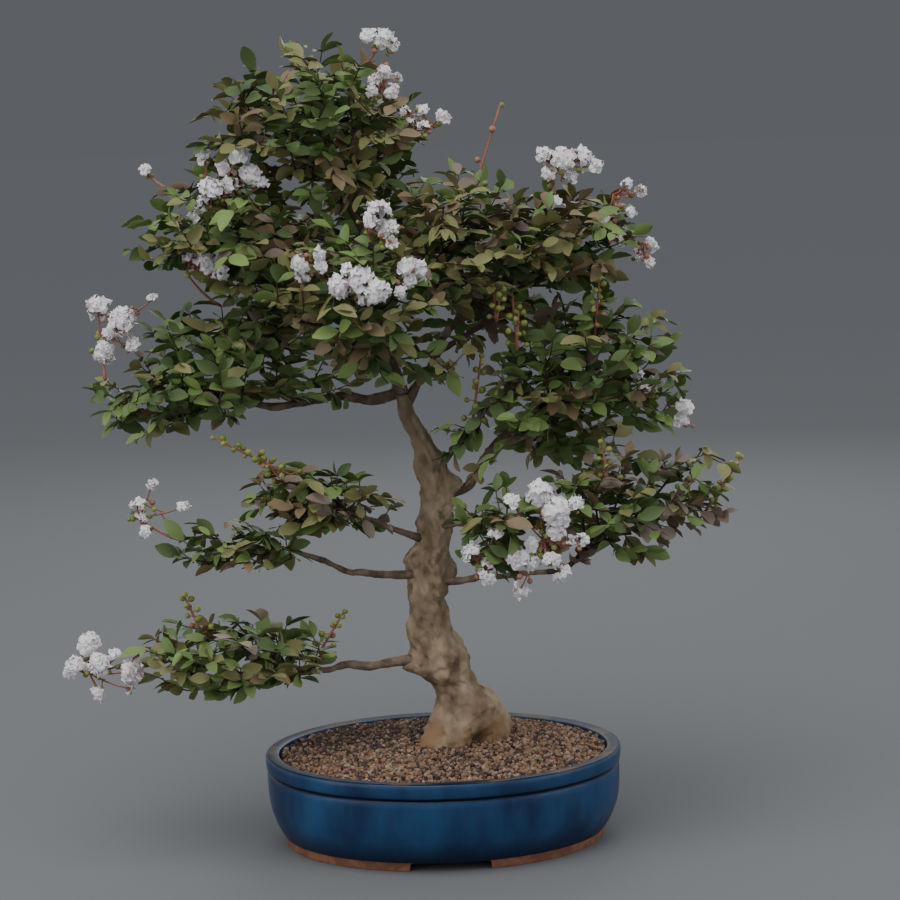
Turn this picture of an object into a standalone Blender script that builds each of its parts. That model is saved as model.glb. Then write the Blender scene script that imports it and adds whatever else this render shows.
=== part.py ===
"""A crape myrtle grown as a bonsai in an oval glazed pot.

Metres, +Z up. The tree is laid out in millimetres round the pot's centre on the table, with X along
the pot's length and Y towards the back. The last step moves everything so that the middle of the
underside of the whole tree's box is the origin.
"""
import math
from itertools import product

import bmesh
import bpy
import numpy as np
from mathutils import Matrix, Vector
from mathutils.bvhtree import BVHTree

MM = 0.001
GAP = 0.3
SEED = 7

# The pot: outer half length and half width at the rim, and how far they draw in at the foot.
POT_HALF = np.array([180.0, 141.3])
POT_DRAW_IN = np.array([19.1, 23.3])
POT_HEIGHT = 93.2
POT_SIDES = 36
LIP_WIDTH = 14.0
WALL = 10.0
FOOT_HEIGHT = 9.0
FOOT_WIDTH = 13.0
FLOOR_TOP = 19.0
FOOT_NOTCH = 84.0
# Height on the wall, and how much of the draw-in has happened there (0 at the rim, 1 at the foot).
POT_WALL = [(0, 1.0), (FOOT_HEIGHT, 0.93), (20, 0.56), (31, 0.33), (44, 0.15), (60, 0.08), (75, 0.08),
            (77, 0.15), (79, 0.04), (89, 0.0), (POT_HEIGHT, 0.05)]

# The gravel: its height at the pot's wall, and the flat that the trunk stands on.
GRAVEL_EDGE = 90.0
GROUND = 100.0
FLAT_CENTRE = np.array([23.0, 4.0])
FLAT_HALF = np.array([62.0, 52.0])

# The trunk: height, then the axis's x and y, then the radius.
TRUNK = [(100.3, 22, 2, 33), (118, 25, 3, 33), (137, 26, 3, 31), (150, 20, 2, 26), (160, 13, 1, 22),
         (172, 4, 0, 26), (187, 1, 0, 28), (205, -6, 0, 24.5), (222, -12, 0, 21.5), (243, -13.5, 0, 17.8),
         (265, -10, 0, 19), (287, -9, 0, 20), (305, -4, 0, 17.3), (340, 1, 0, 16.4), (365, 1, 0, 17),
         (386, -4, 0, 14.9), (410, -15, 1, 10.5), (433, -27, 2, 8.4), (453, -32, 3, 6.8)]
TRUNK_SIDES = 18
TRUNK_RINGS = 30
# Roots, burls and hollows: height, bearing in degrees, reach up, reach round in degrees, swelling.
SWELLINGS = [(100, -150, 24, 36, 18), (100, 20, 30, 32, 18), (100, 105, 26, 40, 10), (100, -60, 11, 22, -20),
             (178, 178, 11, 52, 14), (214, 175, 10, 40, 4), (272, 5, 11, 45, 8), (288, 180, 8, 45, 4),
             (363, 0, 8, 50, 7), (142, -60, 12, 30, 3), (195, -70, 10, 28, 4), (182, 90, 14, 40, 5),
             (252, 115, 12, 35, 4), (322, 70, 12, 35, 3)]

# Boughs: what carries it, how far up or along the carrier it leaves (a height on the trunk, a share of
# the way on a bough), the points that it bends through to its tip, and its radius at foot and tip.
BOUGHS = {
    "leader": ("trunk", 453, [(-42, 10, 500), (-56, 12, 570), (-68, 12, 620), (-80, 10, 668)], 6.4, 4.4),
    "low_left_bough": ("trunk", 183, [(-72, -15, 187), (-108, -25, 185), (-132, -32, 183)], 5.2, 3.4),
    "mid_left_bough": ("trunk", 272, [(-60, -18, 276), (-88, -25, 281), (-137, -40, 305)], 4.8, 3.2),
    "upper_mid_left_bough": ("trunk", 303, [(-43, -25, 322), (-62, -36, 333), (-80, -46, 340)], 4.0, 3.0),
    "left_bough": ("leader", 0.02, [(-63, 1, 452), (-116, 3, 451), (-157, 2, 445), (-196, 0, 454)], 6.2, 3.8),
    "left_rising_bough": ("left_bough", 0.52, [(-149, 10, 455), (-166, 15, 480), (-163, 16, 502)], 3.6, 2.6),
    "right_bough": ("trunk", 352, [(35, 0, 359), (46, -5, 386), (64, -10, 406), (104, -18, 438)], 5.0, 3.4),
    "right_rear_bough": ("right_bough", 0.6, [(84, 14, 404), (108, 38, 402), (120, 56, 405)], 3.4, 2.6),
    "right_rising_bough": ("trunk", 440, [(-2, 20, 478), (19, 28, 498), (52, 34, 518), (84, 30, 548)], 4.6, 3.0),
    "rear_right_bough": ("right_rising_bough", 0.35, [(22, 56, 515), (42, 86, 532)], 3.2, 2.6),
    "low_right_bough": ("trunk", 264, [(28, -8, 266), (61, -15, 269), (108, -24, 274)], 4.6, 3.4),
    "front_right_bough": ("trunk", 318, [(20, -30, 326), (38, -58, 330), (46, -74, 329)], 3.6, 2.8),
    "front_bough": ("leader", 0.06, [(-52, -30, 491), (-60, -50, 506), (-66, -66, 520)], 4.0, 3.0),
    "centre_bough": ("leader", 0.48, [(-34, -2, 566), (-14, -8, 576)], 3.4, 2.8),
    "upper_left_bough": ("leader", 0.66, [(-100, 4, 610), (-136, -2, 616)], 3.8, 2.8),
    "rear_left_bough": ("leader", 0.26, [(-80, 44, 526), (-110, 80, 544)], 3.6, 2.8),
    "rear_bough": ("leader", 0.42, [(-50, 40, 566), (-48, 76, 584)], 3.2, 2.6),
    "rear_top_bough": ("leader", 0.82, [(-66, 40, 658), (-64, 68, 672)], 3.2, 2.6),
}

# Leaf masses: the bough that carries it, its lobes (centre, then half sizes) and its twigs.
MASSES = {
    "top_mass": ("leader", [(-112, 5, 738, 88, 88, 62), (-170, -5, 704, 62, 66, 40), (-42, 0, 722, 44, 56, 46)], 8),
    "upper_left_mass": ("upper_left_bough", [(-196, -5, 626, 74, 84, 62), (-256, 0, 614, 42, 52, 36)], 6),
    "left_mass": ("left_bough", [(-222, 0, 492, 84, 88, 58), (-282, -5, 456, 56, 62, 44)], 7),
    "left_inner_mass": ("left_rising_bough", [(-146, 18, 538, 50, 52, 42)], 3),
    "front_mass": ("front_bough", [(-76, -92, 564, 80, 64, 66)], 5),
    "centre_mass": ("centre_bough", [(30, -30, 604, 70, 80, 74)], 6),
    "upper_right_mass": ("right_rising_bough", [(134, 0, 604, 78, 86, 50)], 6),
    "right_mass": ("right_bough", [(160, 0, 490, 86, 88, 56), (216, 0, 446, 44, 56, 34)], 7),
    "low_right_mass": ("low_right_bough", [(184, -34, 346, 82, 74, 56), (246, -40, 352, 50, 46, 46)], 6),
    "front_right_mass": ("front_right_bough", [(66, -100, 334, 56, 44, 48)], 3),
    "mid_left_mass": ("upper_mid_left_bough", [(-128, -54, 362, 66, 46, 34)], 4),
    "left_tip_mass": ("mid_left_bough", [(-196, -58, 318, 66, 36, 26)], 3),
    "low_left_mass": ("low_left_bough", [(-208, -42, 206, 96, 66, 38)], 6),
    "rear_left_mass": ("rear_left_bough", [(-146, 120, 572, 78, 66, 66)], 5),
    "rear_mass": ("rear_bough", [(-42, 128, 612, 66, 62, 66)], 4),
    "rear_right_mass": ("rear_right_bough", [(66, 128, 560, 82, 66, 70)], 5),
    "low_rear_mass": ("right_rear_bough", [(140, 96, 410, 74, 66, 50)], 5),
    "rear_top_mass": ("rear_top_bough", [(-70, 104, 694, 68, 56, 50)], 4),
}

# Blossom heads: the mass, the head's centre and its half sizes.
BLOSSOM = [
    ("top_mass", (-43, -4, 800), (22, 18, 13)), ("top_mass", (-40, -6, 745), (22, 18, 34)),
    ("top_mass", (6, -2, 722), (27, 15, 13)), ("upper_left_mass", (-212, -34, 650), (38, 22, 34)),
    ("upper_left_mass", (-277, 0, 684), (12, 11, 9)), ("left_mass", (-238, -24, 585), (27, 18, 17)),
    ("left_mass", (-326, -10, 530), (32, 22, 28)), ("front_mass", (-112, -134, 606), (27, 18, 20)),
    ("front_mass", (-70, -142, 574), (46, 20, 22)), ("front_mass", (-64, -134, 634), (22, 18, 22)),
    ("front_mass", (-24, -130, 590), (22, 16, 22)), ("upper_right_mass", (124, -10, 682), (38, 22, 22)),
    ("upper_right_mass", (182, -14, 650), (20, 16, 20)), ("upper_right_mass", (208, -6, 600), (30, 13, 15)),
    ("right_mass", (206, -20, 446), (22, 14, 12)), ("right_mass", (250, -12, 420), (13, 13, 22)),
    ("front_right_mass", (96, -124, 334), (34, 18, 42)), ("front_right_mass", (38, -124, 306), (20, 14, 30)),
    ("low_left_mass", (-348, -50, 200), (40, 24, 32)), ("left_tip_mass", (-290, -70, 358), (26, 15, 32)),
]

# Spikes of green buds: the mass, the spike's foot and tip, and the buds made here.
BUD_SPIKES = [
    ("mid_left_mass", (-140, -62, 384), (-214, -66, 424), 4), ("mid_left_mass", (-146, -58, 374), (-172, -60, 404), 3),
    ("low_left_mass", (-236, -44, 230), (-252, -46, 268), 2), ("low_left_mass", (-120, -40, 206), (-96, -40, 244), 2),
    ("right_mass", (158, -26, 500), (164, -34, 566), 4), ("centre_mass", (60, -66, 528), (64, -76, 558), 2),
    ("low_right_mass", (262, -42, 330), (300, -42, 386), 4), ("low_right_mass", (236, -46, 346), (252, -48, 372), 2),
]

TWIG_TIP_RADIUS = 1.2
TWIG_SWELL = 0.36
TWIG_DETOUR = 0.45
STEM_LENGTH = 14.0
TRIAL_RADII = (3.0, 2.4, 1.8)
SPACE_MARGIN = 0.05
LEAVES_PER_TWIG = 4.1
LEAF_LENGTH = (50.0, 68.0)
LEAF_REACH = 1.25
LEAF_SLIM = 0.52
LEAF_HALF_THICK = 0.7
LEAF_SUNK = 0.35
HEAD_LUMPS = 0.16
BUD_RADIUS = 5.5

COLOURS = {
    "pot": ((0.012, 0.060, 0.190), 0.25),
    "gravel": ((0.170, 0.115, 0.080), 0.95),
    "bark": ((0.360, 0.290, 0.205), 0.85),
    "foliage": ((0.060, 0.100, 0.030), 0.60),
}


def clear_scene():
    for old in list(bpy.data.objects):
        bpy.data.objects.remove(old, do_unlink=True)


def new_collection(name):
    made = bpy.data.collections.new(name)
    bpy.context.scene.collection.children.link(made)
    return made


def finish(name):
    """A Principled material of the part's own colour and roughness."""
    colour, roughness = COLOURS[name]
    made = bpy.data.materials.new(name)
    made.use_nodes = True
    shader = made.node_tree.nodes["Principled BSDF"]
    shader.inputs["Base Color"].default_value = (*colour, 1.0)
    shader.inputs["Roughness"].default_value = roughness
    return made


def add_object(name, mesh, collection):
    made = bpy.data.objects.new(name, mesh)
    collection.objects.link(made)
    return made


def split_faces(mesh):
    """Makes every face a triangle, so that a skew face is the same surface to all that reads it."""
    shell = bmesh.new()
    shell.from_mesh(mesh)
    bmesh.ops.triangulate(shell, faces=shell.faces)
    shell.to_mesh(mesh)
    shell.free()


def loft(name, rings, collection):
    """Joins rings of equal counts, each an array of points, into one closed skin with flat ends."""
    count, sides = len(rings), len(rings[0])
    faces = [tuple(reversed(range(sides)))]
    for ring in range(count - 1):
        for side in range(sides):
            low = ring * sides
            beside = (side + 1) % sides
            faces.append((low + side, low + beside, low + sides + beside, low + sides + side))
    faces.append(tuple(range((count - 1) * sides, count * sides)))
    mesh = bpy.data.meshes.new(name)
    mesh.from_pydata((np.concatenate(rings) * MM).tolist(), [], faces)
    split_faces(mesh)
    return add_object(name, mesh, collection)


def ellipse(half, height, centre=(0.0, 0.0), sides=POT_SIDES):
    turn = np.arange(sides) * 2 * math.pi / sides
    return np.stack([centre[0] + half[0] * np.cos(turn), centre[1] + half[1] * np.sin(turn),
                     np.full(sides, float(height))], axis=1)


def make_pot(collection, cutters):
    """The wall's two faces and the foot ring are one skin of ellipses, with a notch front and back."""
    outer = [ellipse(POT_HALF - POT_DRAW_IN * share, height) for height, share in POT_WALL]
    lip_inner = POT_HALF - LIP_WIDTH
    floor_half = POT_HALF - POT_DRAW_IN * 0.6 - WALL
    inner = [ellipse(lip_inner, POT_HEIGHT - 0.6), ellipse(lip_inner - 1.0, GRAVEL_EDGE - 4.0),
             ellipse(floor_half, FLOOR_TOP)]
    under_half = POT_HALF - POT_DRAW_IN - FOOT_WIDTH
    under = [ellipse(under_half, FOOT_HEIGHT), ellipse(under_half + 1.0, 0.0)]
    pot = loft("pot", under + outer + inner, collection)
    pot.data.polygons.foreach_set("use_smooth", [True] * len(pot.data.polygons))
    bpy.ops.mesh.primitive_cube_add(size=1.0, location=(0.0, 0.0, 0.0))
    notch = bpy.context.object
    notch.name = "foot_notch"
    notch.dimensions = Vector((FOOT_NOTCH, 400.0, 2 * FOOT_HEIGHT)) * MM
    notch.hide_render = True
    notch.display_type = "WIRE"
    for home in list(notch.users_collection):
        home.objects.unlink(notch)
    cutters.objects.link(notch)
    cut = pot.modifiers.new("foot notches", "BOOLEAN")
    cut.operation = "DIFFERENCE"
    cut.object = notch
    return pot


def make_gravel(collection):
    """Fills the pot and mounds up to the flat under the trunk."""
    lip_inner = POT_HALF - LIP_WIDTH - GAP
    floor_half = POT_HALF - POT_DRAW_IN * 0.6 - WALL - GAP
    rings = [ellipse(floor_half, FLOOR_TOP + GAP), ellipse(lip_inner - 1.0, GRAVEL_EDGE - 4.0),
             ellipse(lip_inner - 0.4, GRAVEL_EDGE - 0.5)]
    for share in (0.04, 0.5, 1.0):
        half = lip_inner + (FLAT_HALF - lip_inner) * share
        rise = 1 - (1 - share) ** 1.6
        rings.append(ellipse(half, GRAVEL_EDGE + (GROUND - GRAVEL_EDGE) * rise, FLAT_CENTRE * share))
    return loft("gravel", rings, collection)


def trunk_axis(height):
    """The trunk's axis point and radius at a height."""
    table = np.array(TRUNK, dtype=float)
    return np.array([np.interp(height, table[:, 0], table[:, column]) for column in (1, 2, 3)])


def trunk_ring(height):
    """A level section: the radius, swelled by each root and burl by a bell in height and bearing."""
    x, y, radius = trunk_axis(height)
    turn = np.arange(TRUNK_SIDES) * 2 * math.pi / TRUNK_SIDES
    out = np.full(TRUNK_SIDES, radius)
    for level, bearing, reach, spread, swell in SWELLINGS:
        aside = (np.degrees(turn) - bearing + 180) % 360 - 180
        out += swell * np.exp(-(aside / spread) ** 2 - ((height - level) / reach) ** 2)
    return np.stack([x + out * np.cos(turn), y + out * np.sin(turn), np.full(TRUNK_SIDES, height)], axis=1)


def make_trunk(collection):
    heights = np.linspace(TRUNK[0][0], TRUNK[-1][0], TRUNK_RINGS)
    return loft("trunk", [trunk_ring(height) for height in heights], collection)


def smooth_path(points, steps=2):
    """A Catmull-Rom curve through the points, with this many steps between each two."""
    padded = np.array([2 * points[0] - points[1], *points, 2 * points[-1] - points[-2]])
    path = [points[0]]
    for start in range(1, len(padded) - 2):
        before, here, there, after = padded[start - 1:start + 3]
        for step in range(1, steps + 1):
            t = step / steps
            path.append(0.5 * (2 * here + (there - before) * t
                               + (2 * before - 5 * here + 4 * there - after) * t ** 2
                               + (3 * here - before - 3 * there + after) * t ** 3))
    return np.array(path)


def tube(name, path, radii, collection, section):
    """A tapering limb: a section swept along a curve with filled caps, made a mesh with its caps welded."""
    curve = bpy.data.curves.new(name, "CURVE")
    curve.dimensions = "3D"
    curve.use_fill_caps = True
    curve.bevel_mode = "OBJECT"
    curve.bevel_object = section
    spline = curve.splines.new("POLY")
    spline.points.add(len(path) - 1)
    for point, place, radius in zip(spline.points, path, radii):
        point.co = (*(place * MM), 1.0)
        point.radius = radius
    guide = add_object(name + "_guide", curve, collection)
    seen = guide.evaluated_get(bpy.context.evaluated_depsgraph_get())
    mesh = bpy.data.meshes.new_from_object(seen)
    mesh.name = name
    bpy.data.objects.remove(guide)
    bpy.data.curves.remove(curve)
    shell = bmesh.new()
    shell.from_mesh(mesh)
    bmesh.ops.remove_doubles(shell, verts=shell.verts, dist=1e-6)
    bmesh.ops.recalc_face_normals(shell, faces=shell.faces)
    shell.to_mesh(mesh)
    shell.free()
    return add_object(name, mesh, collection)


def surface(made, grown=0.0):
    """The object's triangles for clearance tests, pushed out along the normals by some millimetres."""
    shell = bmesh.new()
    shell.from_mesh(made.data)
    bmesh.ops.triangulate(shell, faces=shell.faces)
    points = [vert.co + vert.normal * grown * MM for vert in shell.verts]
    shell.verts.index_update()
    faces = [[vert.index for vert in face.verts] for face in shell.faces]
    shell.free()
    return points, faces


def cut_clear(limb, carrier, cutters):
    """Cuts the limb back to the skin of the limb that carries or crosses it, a gap's width clear."""
    points, faces = surface(carrier, grown=1.15 * GAP)
    mesh = bpy.data.meshes.new("clearance")
    mesh.from_pydata(points, [], faces)
    cutter = add_object("clearance", mesh, cutters)
    cut = limb.modifiers.new("seat", "BOOLEAN")
    cut.operation = "DIFFERENCE"
    cut.object = cutter
    apply_shape(limb)
    bpy.data.objects.remove(cutter)


def apply_shape(made):
    """Makes the evaluated shape the object's own mesh, keeping the largest closed body in it.

    Faces are split along other diagonals where two neighbours would share one.
    """
    seen = made.evaluated_get(bpy.context.evaluated_depsgraph_get())
    mesh = bpy.data.meshes.new_from_object(seen)
    made.modifiers.clear()
    for four_sided, many_sided in product(("BEAUTY", "LONG_EDGE", "FIXED"), ("BEAUTY", "EAR_CLIP")):
        shell = bmesh.new()
        shell.from_mesh(mesh)
        bmesh.ops.triangulate(shell, faces=shell.faces, quad_method=four_sided, ngon_method=many_sided)
        keep_main_body(shell)
        closed = all(len(edge.link_faces) == 2 for edge in shell.edges)
        split = mesh.copy()
        shell.to_mesh(split)
        shell.free()
        if closed:
            break
    made.data = split
    return closed


def keep_main_body(shell):
    """Drops loose scraps, and the skins of sealed hollows, which fills them."""
    waiting = set(shell.faces)
    bodies = []
    while waiting:
        body, edge_of = [], [waiting.pop()]
        while edge_of:
            face = edge_of.pop()
            body.append(face)
            near = {other for edge in face.edges for other in edge.link_faces} & waiting
            waiting -= near
            edge_of.extend(near)
        bodies.append(body)
    bodies.sort(key=len)
    for body in bodies[:-1]:
        bmesh.ops.delete(shell, geom=body, context="FACES")


def touches(made, others):
    points, faces = surface(made)
    own = BVHTree.FromPolygons(points, faces)
    return [other for other in others if own.overlap(BVHTree.FromPolygons(*surface(other)))]


def bough_paths():
    """Every bough's smooth path from its carrier's axis to its tip, with small seeded kinks."""
    rng = np.random.default_rng(SEED)
    paths = {}
    for name, (carrier, leaves_at, bends, _, _) in BOUGHS.items():
        if carrier == "trunk":
            x, y, _ = trunk_axis(leaves_at)
            foot = np.array([x, y, leaves_at])
        else:
            along = paths[carrier]
            place = leaves_at * (len(along) - 1)
            foot = np.array([np.interp(place, np.arange(len(along)), along[:, axis]) for axis in range(3)])
        path = smooth_path(np.array([foot, *bends], dtype=float))
        path[1:-1] += rng.normal(0.0, 0.7, path[1:-1].shape)
        paths[name] = path
    paths["leader"][0, 2] += GAP
    return paths


def make_boughs(paths, trunk, section, collection, cutters):
    made = {"trunk": trunk}
    for name, (_, _, _, foot_radius, tip_radius) in BOUGHS.items():
        path = paths[name]
        radii = np.linspace(foot_radius, tip_radius, len(path))
        limb = tube(name, path, radii, collection, section)
        for other in touches(limb, list(made.values())):
            cut_clear(limb, other, cutters)
        made[name] = limb
    return made


def spaces():
    """The lobes of each mass: its own, its blossom heads and bud spikes, and the end of its bough."""
    found = {}
    for name, (bough, lobes, _) in MASSES.items():
        rows = [list(lobe) for lobe in lobes]
        rows += [[*centre, *(size + 4 for size in half)] for mass, centre, half in BLOSSOM if mass == name]
        for mass, foot, tip, _ in BUD_SPIKES:
            if mass == name:
                middle = (np.array(foot) + np.array(tip)) / 2
                reach = np.abs(np.array(tip) - np.array(foot)) / 2 + 12
                rows.append([*middle, *reach])
        rows.append([*BOUGHS[bough][2][-1], 24, 24, 24])
        found[name] = np.array(rows, dtype=float)
    return found


def depth_in(points, lobes):
    """The scaled distance from the nearest lobe's centre: 1 on the space's edge, 0 at a centre."""
    away = (points[:, None, :] - lobes[None, :, :3]) / lobes[None, :, 3:]
    return np.linalg.norm(away, axis=2).min(axis=1)


def in_space(points, name, rooms, reach=1.0):
    """Whether all the points lie in this mass's space, and deeper in it than in any other's."""
    points = np.atleast_2d(points)
    own = depth_in(points, rooms[name])
    others = np.min([depth_in(points, lobes) for other, lobes in rooms.items() if other != name], axis=0)
    return bool(np.all(own <= reach) and np.all(own + SPACE_MARGIN < others))


def spread_tips(name, count, rooms, rng):
    """Twig tips spread evenly: each is the one of a dozen random places that is furthest from the rest."""
    lobes = rooms[name][:len(MASSES[name][1])]
    weights = lobes[:, 3:].prod(axis=1)
    chosen = []
    while len(chosen) < count:
        options = []
        while len(options) < 12:
            lobe = lobes[rng.choice(len(lobes), p=weights / weights.sum())]
            way = rng.normal(size=3)
            place = lobe[:3] + lobe[3:] * way / np.linalg.norm(way) * (0.2 + 0.55 * rng.random())
            if in_space(place, name, rooms):
                options.append(place)
        gaps = [min([np.linalg.norm(place - other) for other in chosen], default=0.0) for place in options]
        chosen.append(options[int(np.argmax(gaps))])
    return np.array(chosen)


class Blocked:
    """The skins that a new twig or leaf has to keep clear of, each grown by a clearance."""

    def __init__(self, clearance):
        self.clearance = clearance
        self.trees = []

    def add(self, solid):
        self.trees.append(BVHTree.FromPolygons(*surface(solid, grown=self.clearance)))

    def hit(self, piece):
        own = BVHTree.FromPolygons(*surface(piece))
        return any(own.overlap(tree) for tree in self.trees)


def kept_clear(piece, *walls):
    """Whether a new piece stands clear of the walls; one that doesn't is removed."""
    if any(wall.hit(piece) for wall in walls):
        bpy.data.objects.remove(piece)
        return False
    return True


def grow_twigs(foot, heading, tips, blocked, section, parts):
    """Joins each tip, nearest first, to the point of the twigs so far that costs least to reach.

    The cost is the distance plus a share of the way back to the stem. Each twig bends once, upwards.
    Where a twig would touch a limb, the next best point is tried, and then the tip is left out.
    Returns the points, and each point's parent.
    """
    points = [foot, foot + heading * STEM_LENGTH]
    parents = [-1, 0]
    way_back = [0.0, STEM_LENGTH]
    for tip in tips[np.argsort(np.linalg.norm(tips - foot, axis=1))]:
        cost = np.linalg.norm(np.array(points[1:]) - tip, axis=1) + TWIG_DETOUR * np.array(way_back[1:])
        for joint in np.argsort(cost)[:4] + 1:
            span = tip - points[joint]
            bend = points[joint] + span * 0.52 - np.array([0.0, 0.0, 0.10 * np.linalg.norm(span)])
            trial = tube("trial", np.array([points[joint], bend, tip]), TRIAL_RADII, parts, section)
            if kept_clear(trial, blocked):
                bpy.data.objects.remove(trial)
                points += [bend, tip]
                parents += [joint, len(points) - 2]
                way_back.append(way_back[joint] + np.linalg.norm(bend - points[joint]))
                way_back.append(way_back[-1] + np.linalg.norm(tip - bend))
                break
    return np.array(points), parents


def twig_radii(parents, carried):
    """Each point is as thick as the tips beyond it need: the tip radius times a power of their count."""
    count = np.array(carried, dtype=float)
    for point in range(len(parents) - 1, 0, -1):
        count[parents[point]] += count[point]
    return TWIG_TIP_RADIUS * np.maximum(count, 1.0) ** TWIG_SWELL


def limb_chains(points, parents, radii):
    """Splits the twigs into chains of points, each running on from a fork along its thickest child."""
    waiting, chains = [[0]], []
    while waiting:
        chain = waiting.pop()
        while True:
            children = [child for child, parent in enumerate(parents) if parent == chain[-1]]
            children = [child for child in children if child not in chain]
            children.sort(key=lambda child: -radii[child])
            if children and len(chain) > 1:
                came = points[chain[-1]] - points[chain[-2]]
                goes = points[children[0]] - points[chain[-1]]
                if came @ goes < 0.35 * np.linalg.norm(came) * np.linalg.norm(goes):
                    waiting += [[chain[-1], child] for child in children]
                    break
            if not children:
                break
            waiting += [[chain[-1], child] for child in children[1:]]
            chain.append(children[0])
        chains.append(chain)
    return chains


def lump(name, divisions, half, middle, collection, rng=None):
    """A bud of eight faces, or a blossom head: an icosphere with its points moved in and out by chance."""
    shell = bmesh.new()
    if divisions:
        bmesh.ops.create_icosphere(shell, subdivisions=divisions, radius=1.0)
    else:
        bmesh.ops.create_uvsphere(shell, u_segments=4, v_segments=2, radius=1.0)
    for vert in shell.verts:
        out = 1.0 + (rng.uniform(-HEAD_LUMPS, HEAD_LUMPS) if divisions else 0.0)
        vert.co = [(place + size * part * out) * MM for place, size, part in zip(middle, half, vert.co)]
    mesh = bpy.data.meshes.new(name)
    shell.to_mesh(mesh)
    shell.free()
    return add_object(name, mesh, collection)


def leaf_blade(root, along, face, length, collection):
    """A sphere of eight faces made flat: its ends are the leaf's root and tip."""
    x = Vector(along).normalized()
    y = Vector(face).cross(x).normalized()
    frame = Matrix((x, y, x.cross(y))).transposed().to_4x4()
    frame.translation = (Vector(root) + x * (length / 2 - LEAF_SUNK)) * MM
    half = Vector((length / 2, length * LEAF_SLIM / 2, LEAF_HALF_THICK)) * MM
    shell = bmesh.new()
    bmesh.ops.create_uvsphere(shell, u_segments=4, v_segments=2, radius=1.0,
                              matrix=frame @ Matrix.Diagonal((*half, 1.0)))
    mesh = bpy.data.meshes.new("leaf")
    shell.to_mesh(mesh)
    shell.free()
    return add_object("leaf", mesh, collection)


def leaf_face(root, middle, rng):
    """The way a leaf's upper face looks: up, out of the mass, and by chance."""
    out = (root - middle) / np.linalg.norm(root - middle)
    return rng.normal(0.0, 0.45, 3) + 0.7 * out + np.array([0.0, 0.0, 0.6])


def leaf_sites(points, parents):
    """Where leaves root and the way they head: one on from each tip, and pairs along each twig."""
    sites = []
    for point in range(2, len(points)):
        before = points[parents[point]]
        heading = (points[point] - before) / np.linalg.norm(points[point] - before)
        side = np.cross(heading, [0.0, 0.0, 1.0])
        side /= np.linalg.norm(side)
        is_tip = point % 2 == 1
        if is_tip:
            sites.append((points[point] - heading, heading))
        for share in (0.25, 0.55, 0.85) if is_tip else (0.5, 0.9):
            for hand in (-1.0, 1.0):
                root = before + (points[point] - before) * (share + 0.04 * hand)
                sites.append((root, heading * 0.55 + side * hand))
    return sites


def add_leaves(name, points, parents, wanted, rooms, blocked, own, parts, rng):
    """Fills the sites by chance. A leaf that would leave the space or touch a limb, a head or another
    leaf is tried again shorter and turned, and then left out."""
    sites = leaf_sites(points, parents)
    middle = points.mean(axis=0)
    made = 0
    for site in rng.permutation(len(sites)):
        root, heading = sites[site]
        length = rng.uniform(*LEAF_LENGTH)
        for shrink in (1.0, 0.92, 0.84, 0.76, 0.7):
            along = heading + rng.normal(0.0, 0.22, 3)
            along /= np.linalg.norm(along)
            if made == wanted or not in_space(root + along * length * shrink, name, rooms, LEAF_REACH):
                continue
            leaf = leaf_blade(root, along, leaf_face(root, middle, rng), length * shrink, parts)
            corners = np.array([vert.co for vert in leaf.data.vertices]) / MM
            if not in_space(corners, name, rooms, LEAF_REACH):
                bpy.data.objects.remove(leaf)
            elif kept_clear(leaf, blocked, own):
                own.add(leaf)
                made += 1
                break


def add_stalk(points, path, radius, blocked, section, parts):
    """A stalk along a path from the nearest twig point that it reaches clear of everything."""
    for joint in 1 + np.argsort(np.linalg.norm(points[1:] - path[0], axis=1)):
        whole = np.array([points[joint], *path])
        stalk = tube("stalk", whole, np.linspace(radius, 0.8 * radius, len(whole)), parts, section)
        if kept_clear(stalk, blocked):
            return joint
    return None


def add_heads(name, points, carried, blocked, own, section, parts, rng):
    """The mass's blossom heads and spikes of buds, each on a stalk."""
    for mass, middle, half in BLOSSOM:
        if mass != name:
            continue
        joint = add_stalk(points, [np.array(middle)], 1.7, blocked, section, parts)
        carried[joint] += 2
        head = lump("head", 2 if max(half) > 24 else 1, half, middle, parts, rng)
        own.add(head)
    for mass, foot, tip, buds in BUD_SPIKES:
        if mass != name:
            continue
        foot, tip = np.array(foot, dtype=float), np.array(tip, dtype=float)
        joint = add_stalk(points, [foot, tip], 1.4, blocked, section, parts)
        carried[joint] += 1
        for bud in range(buds):
            share = 1.0 - bud / buds
            place = foot + (tip - foot) * share
            turn = bud * 2.4
            aside = np.array([math.cos(turn), math.sin(turn), 0.3]) * 0.75 * BUD_RADIUS * min(bud, 1)
            own.add(lump("bud", 0, [BUD_RADIUS] * 3, place + aside, parts))


def fuse(stem, parts):
    """One union of the stem with everything in the collection, whose objects are then removed."""
    whole = stem.data
    for solver in ("EXACT", "MANIFOLD"):
        stem.data = whole
        join = stem.modifiers.new("fuse", "BOOLEAN")
        join.operation = "UNION"
        join.operand_type = "COLLECTION"
        join.collection = parts
        join.solver = solver
        if apply_shape(stem):
            break
    for piece in list(parts.objects):
        bpy.data.objects.remove(piece)
    bpy.data.collections.remove(parts)


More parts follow.
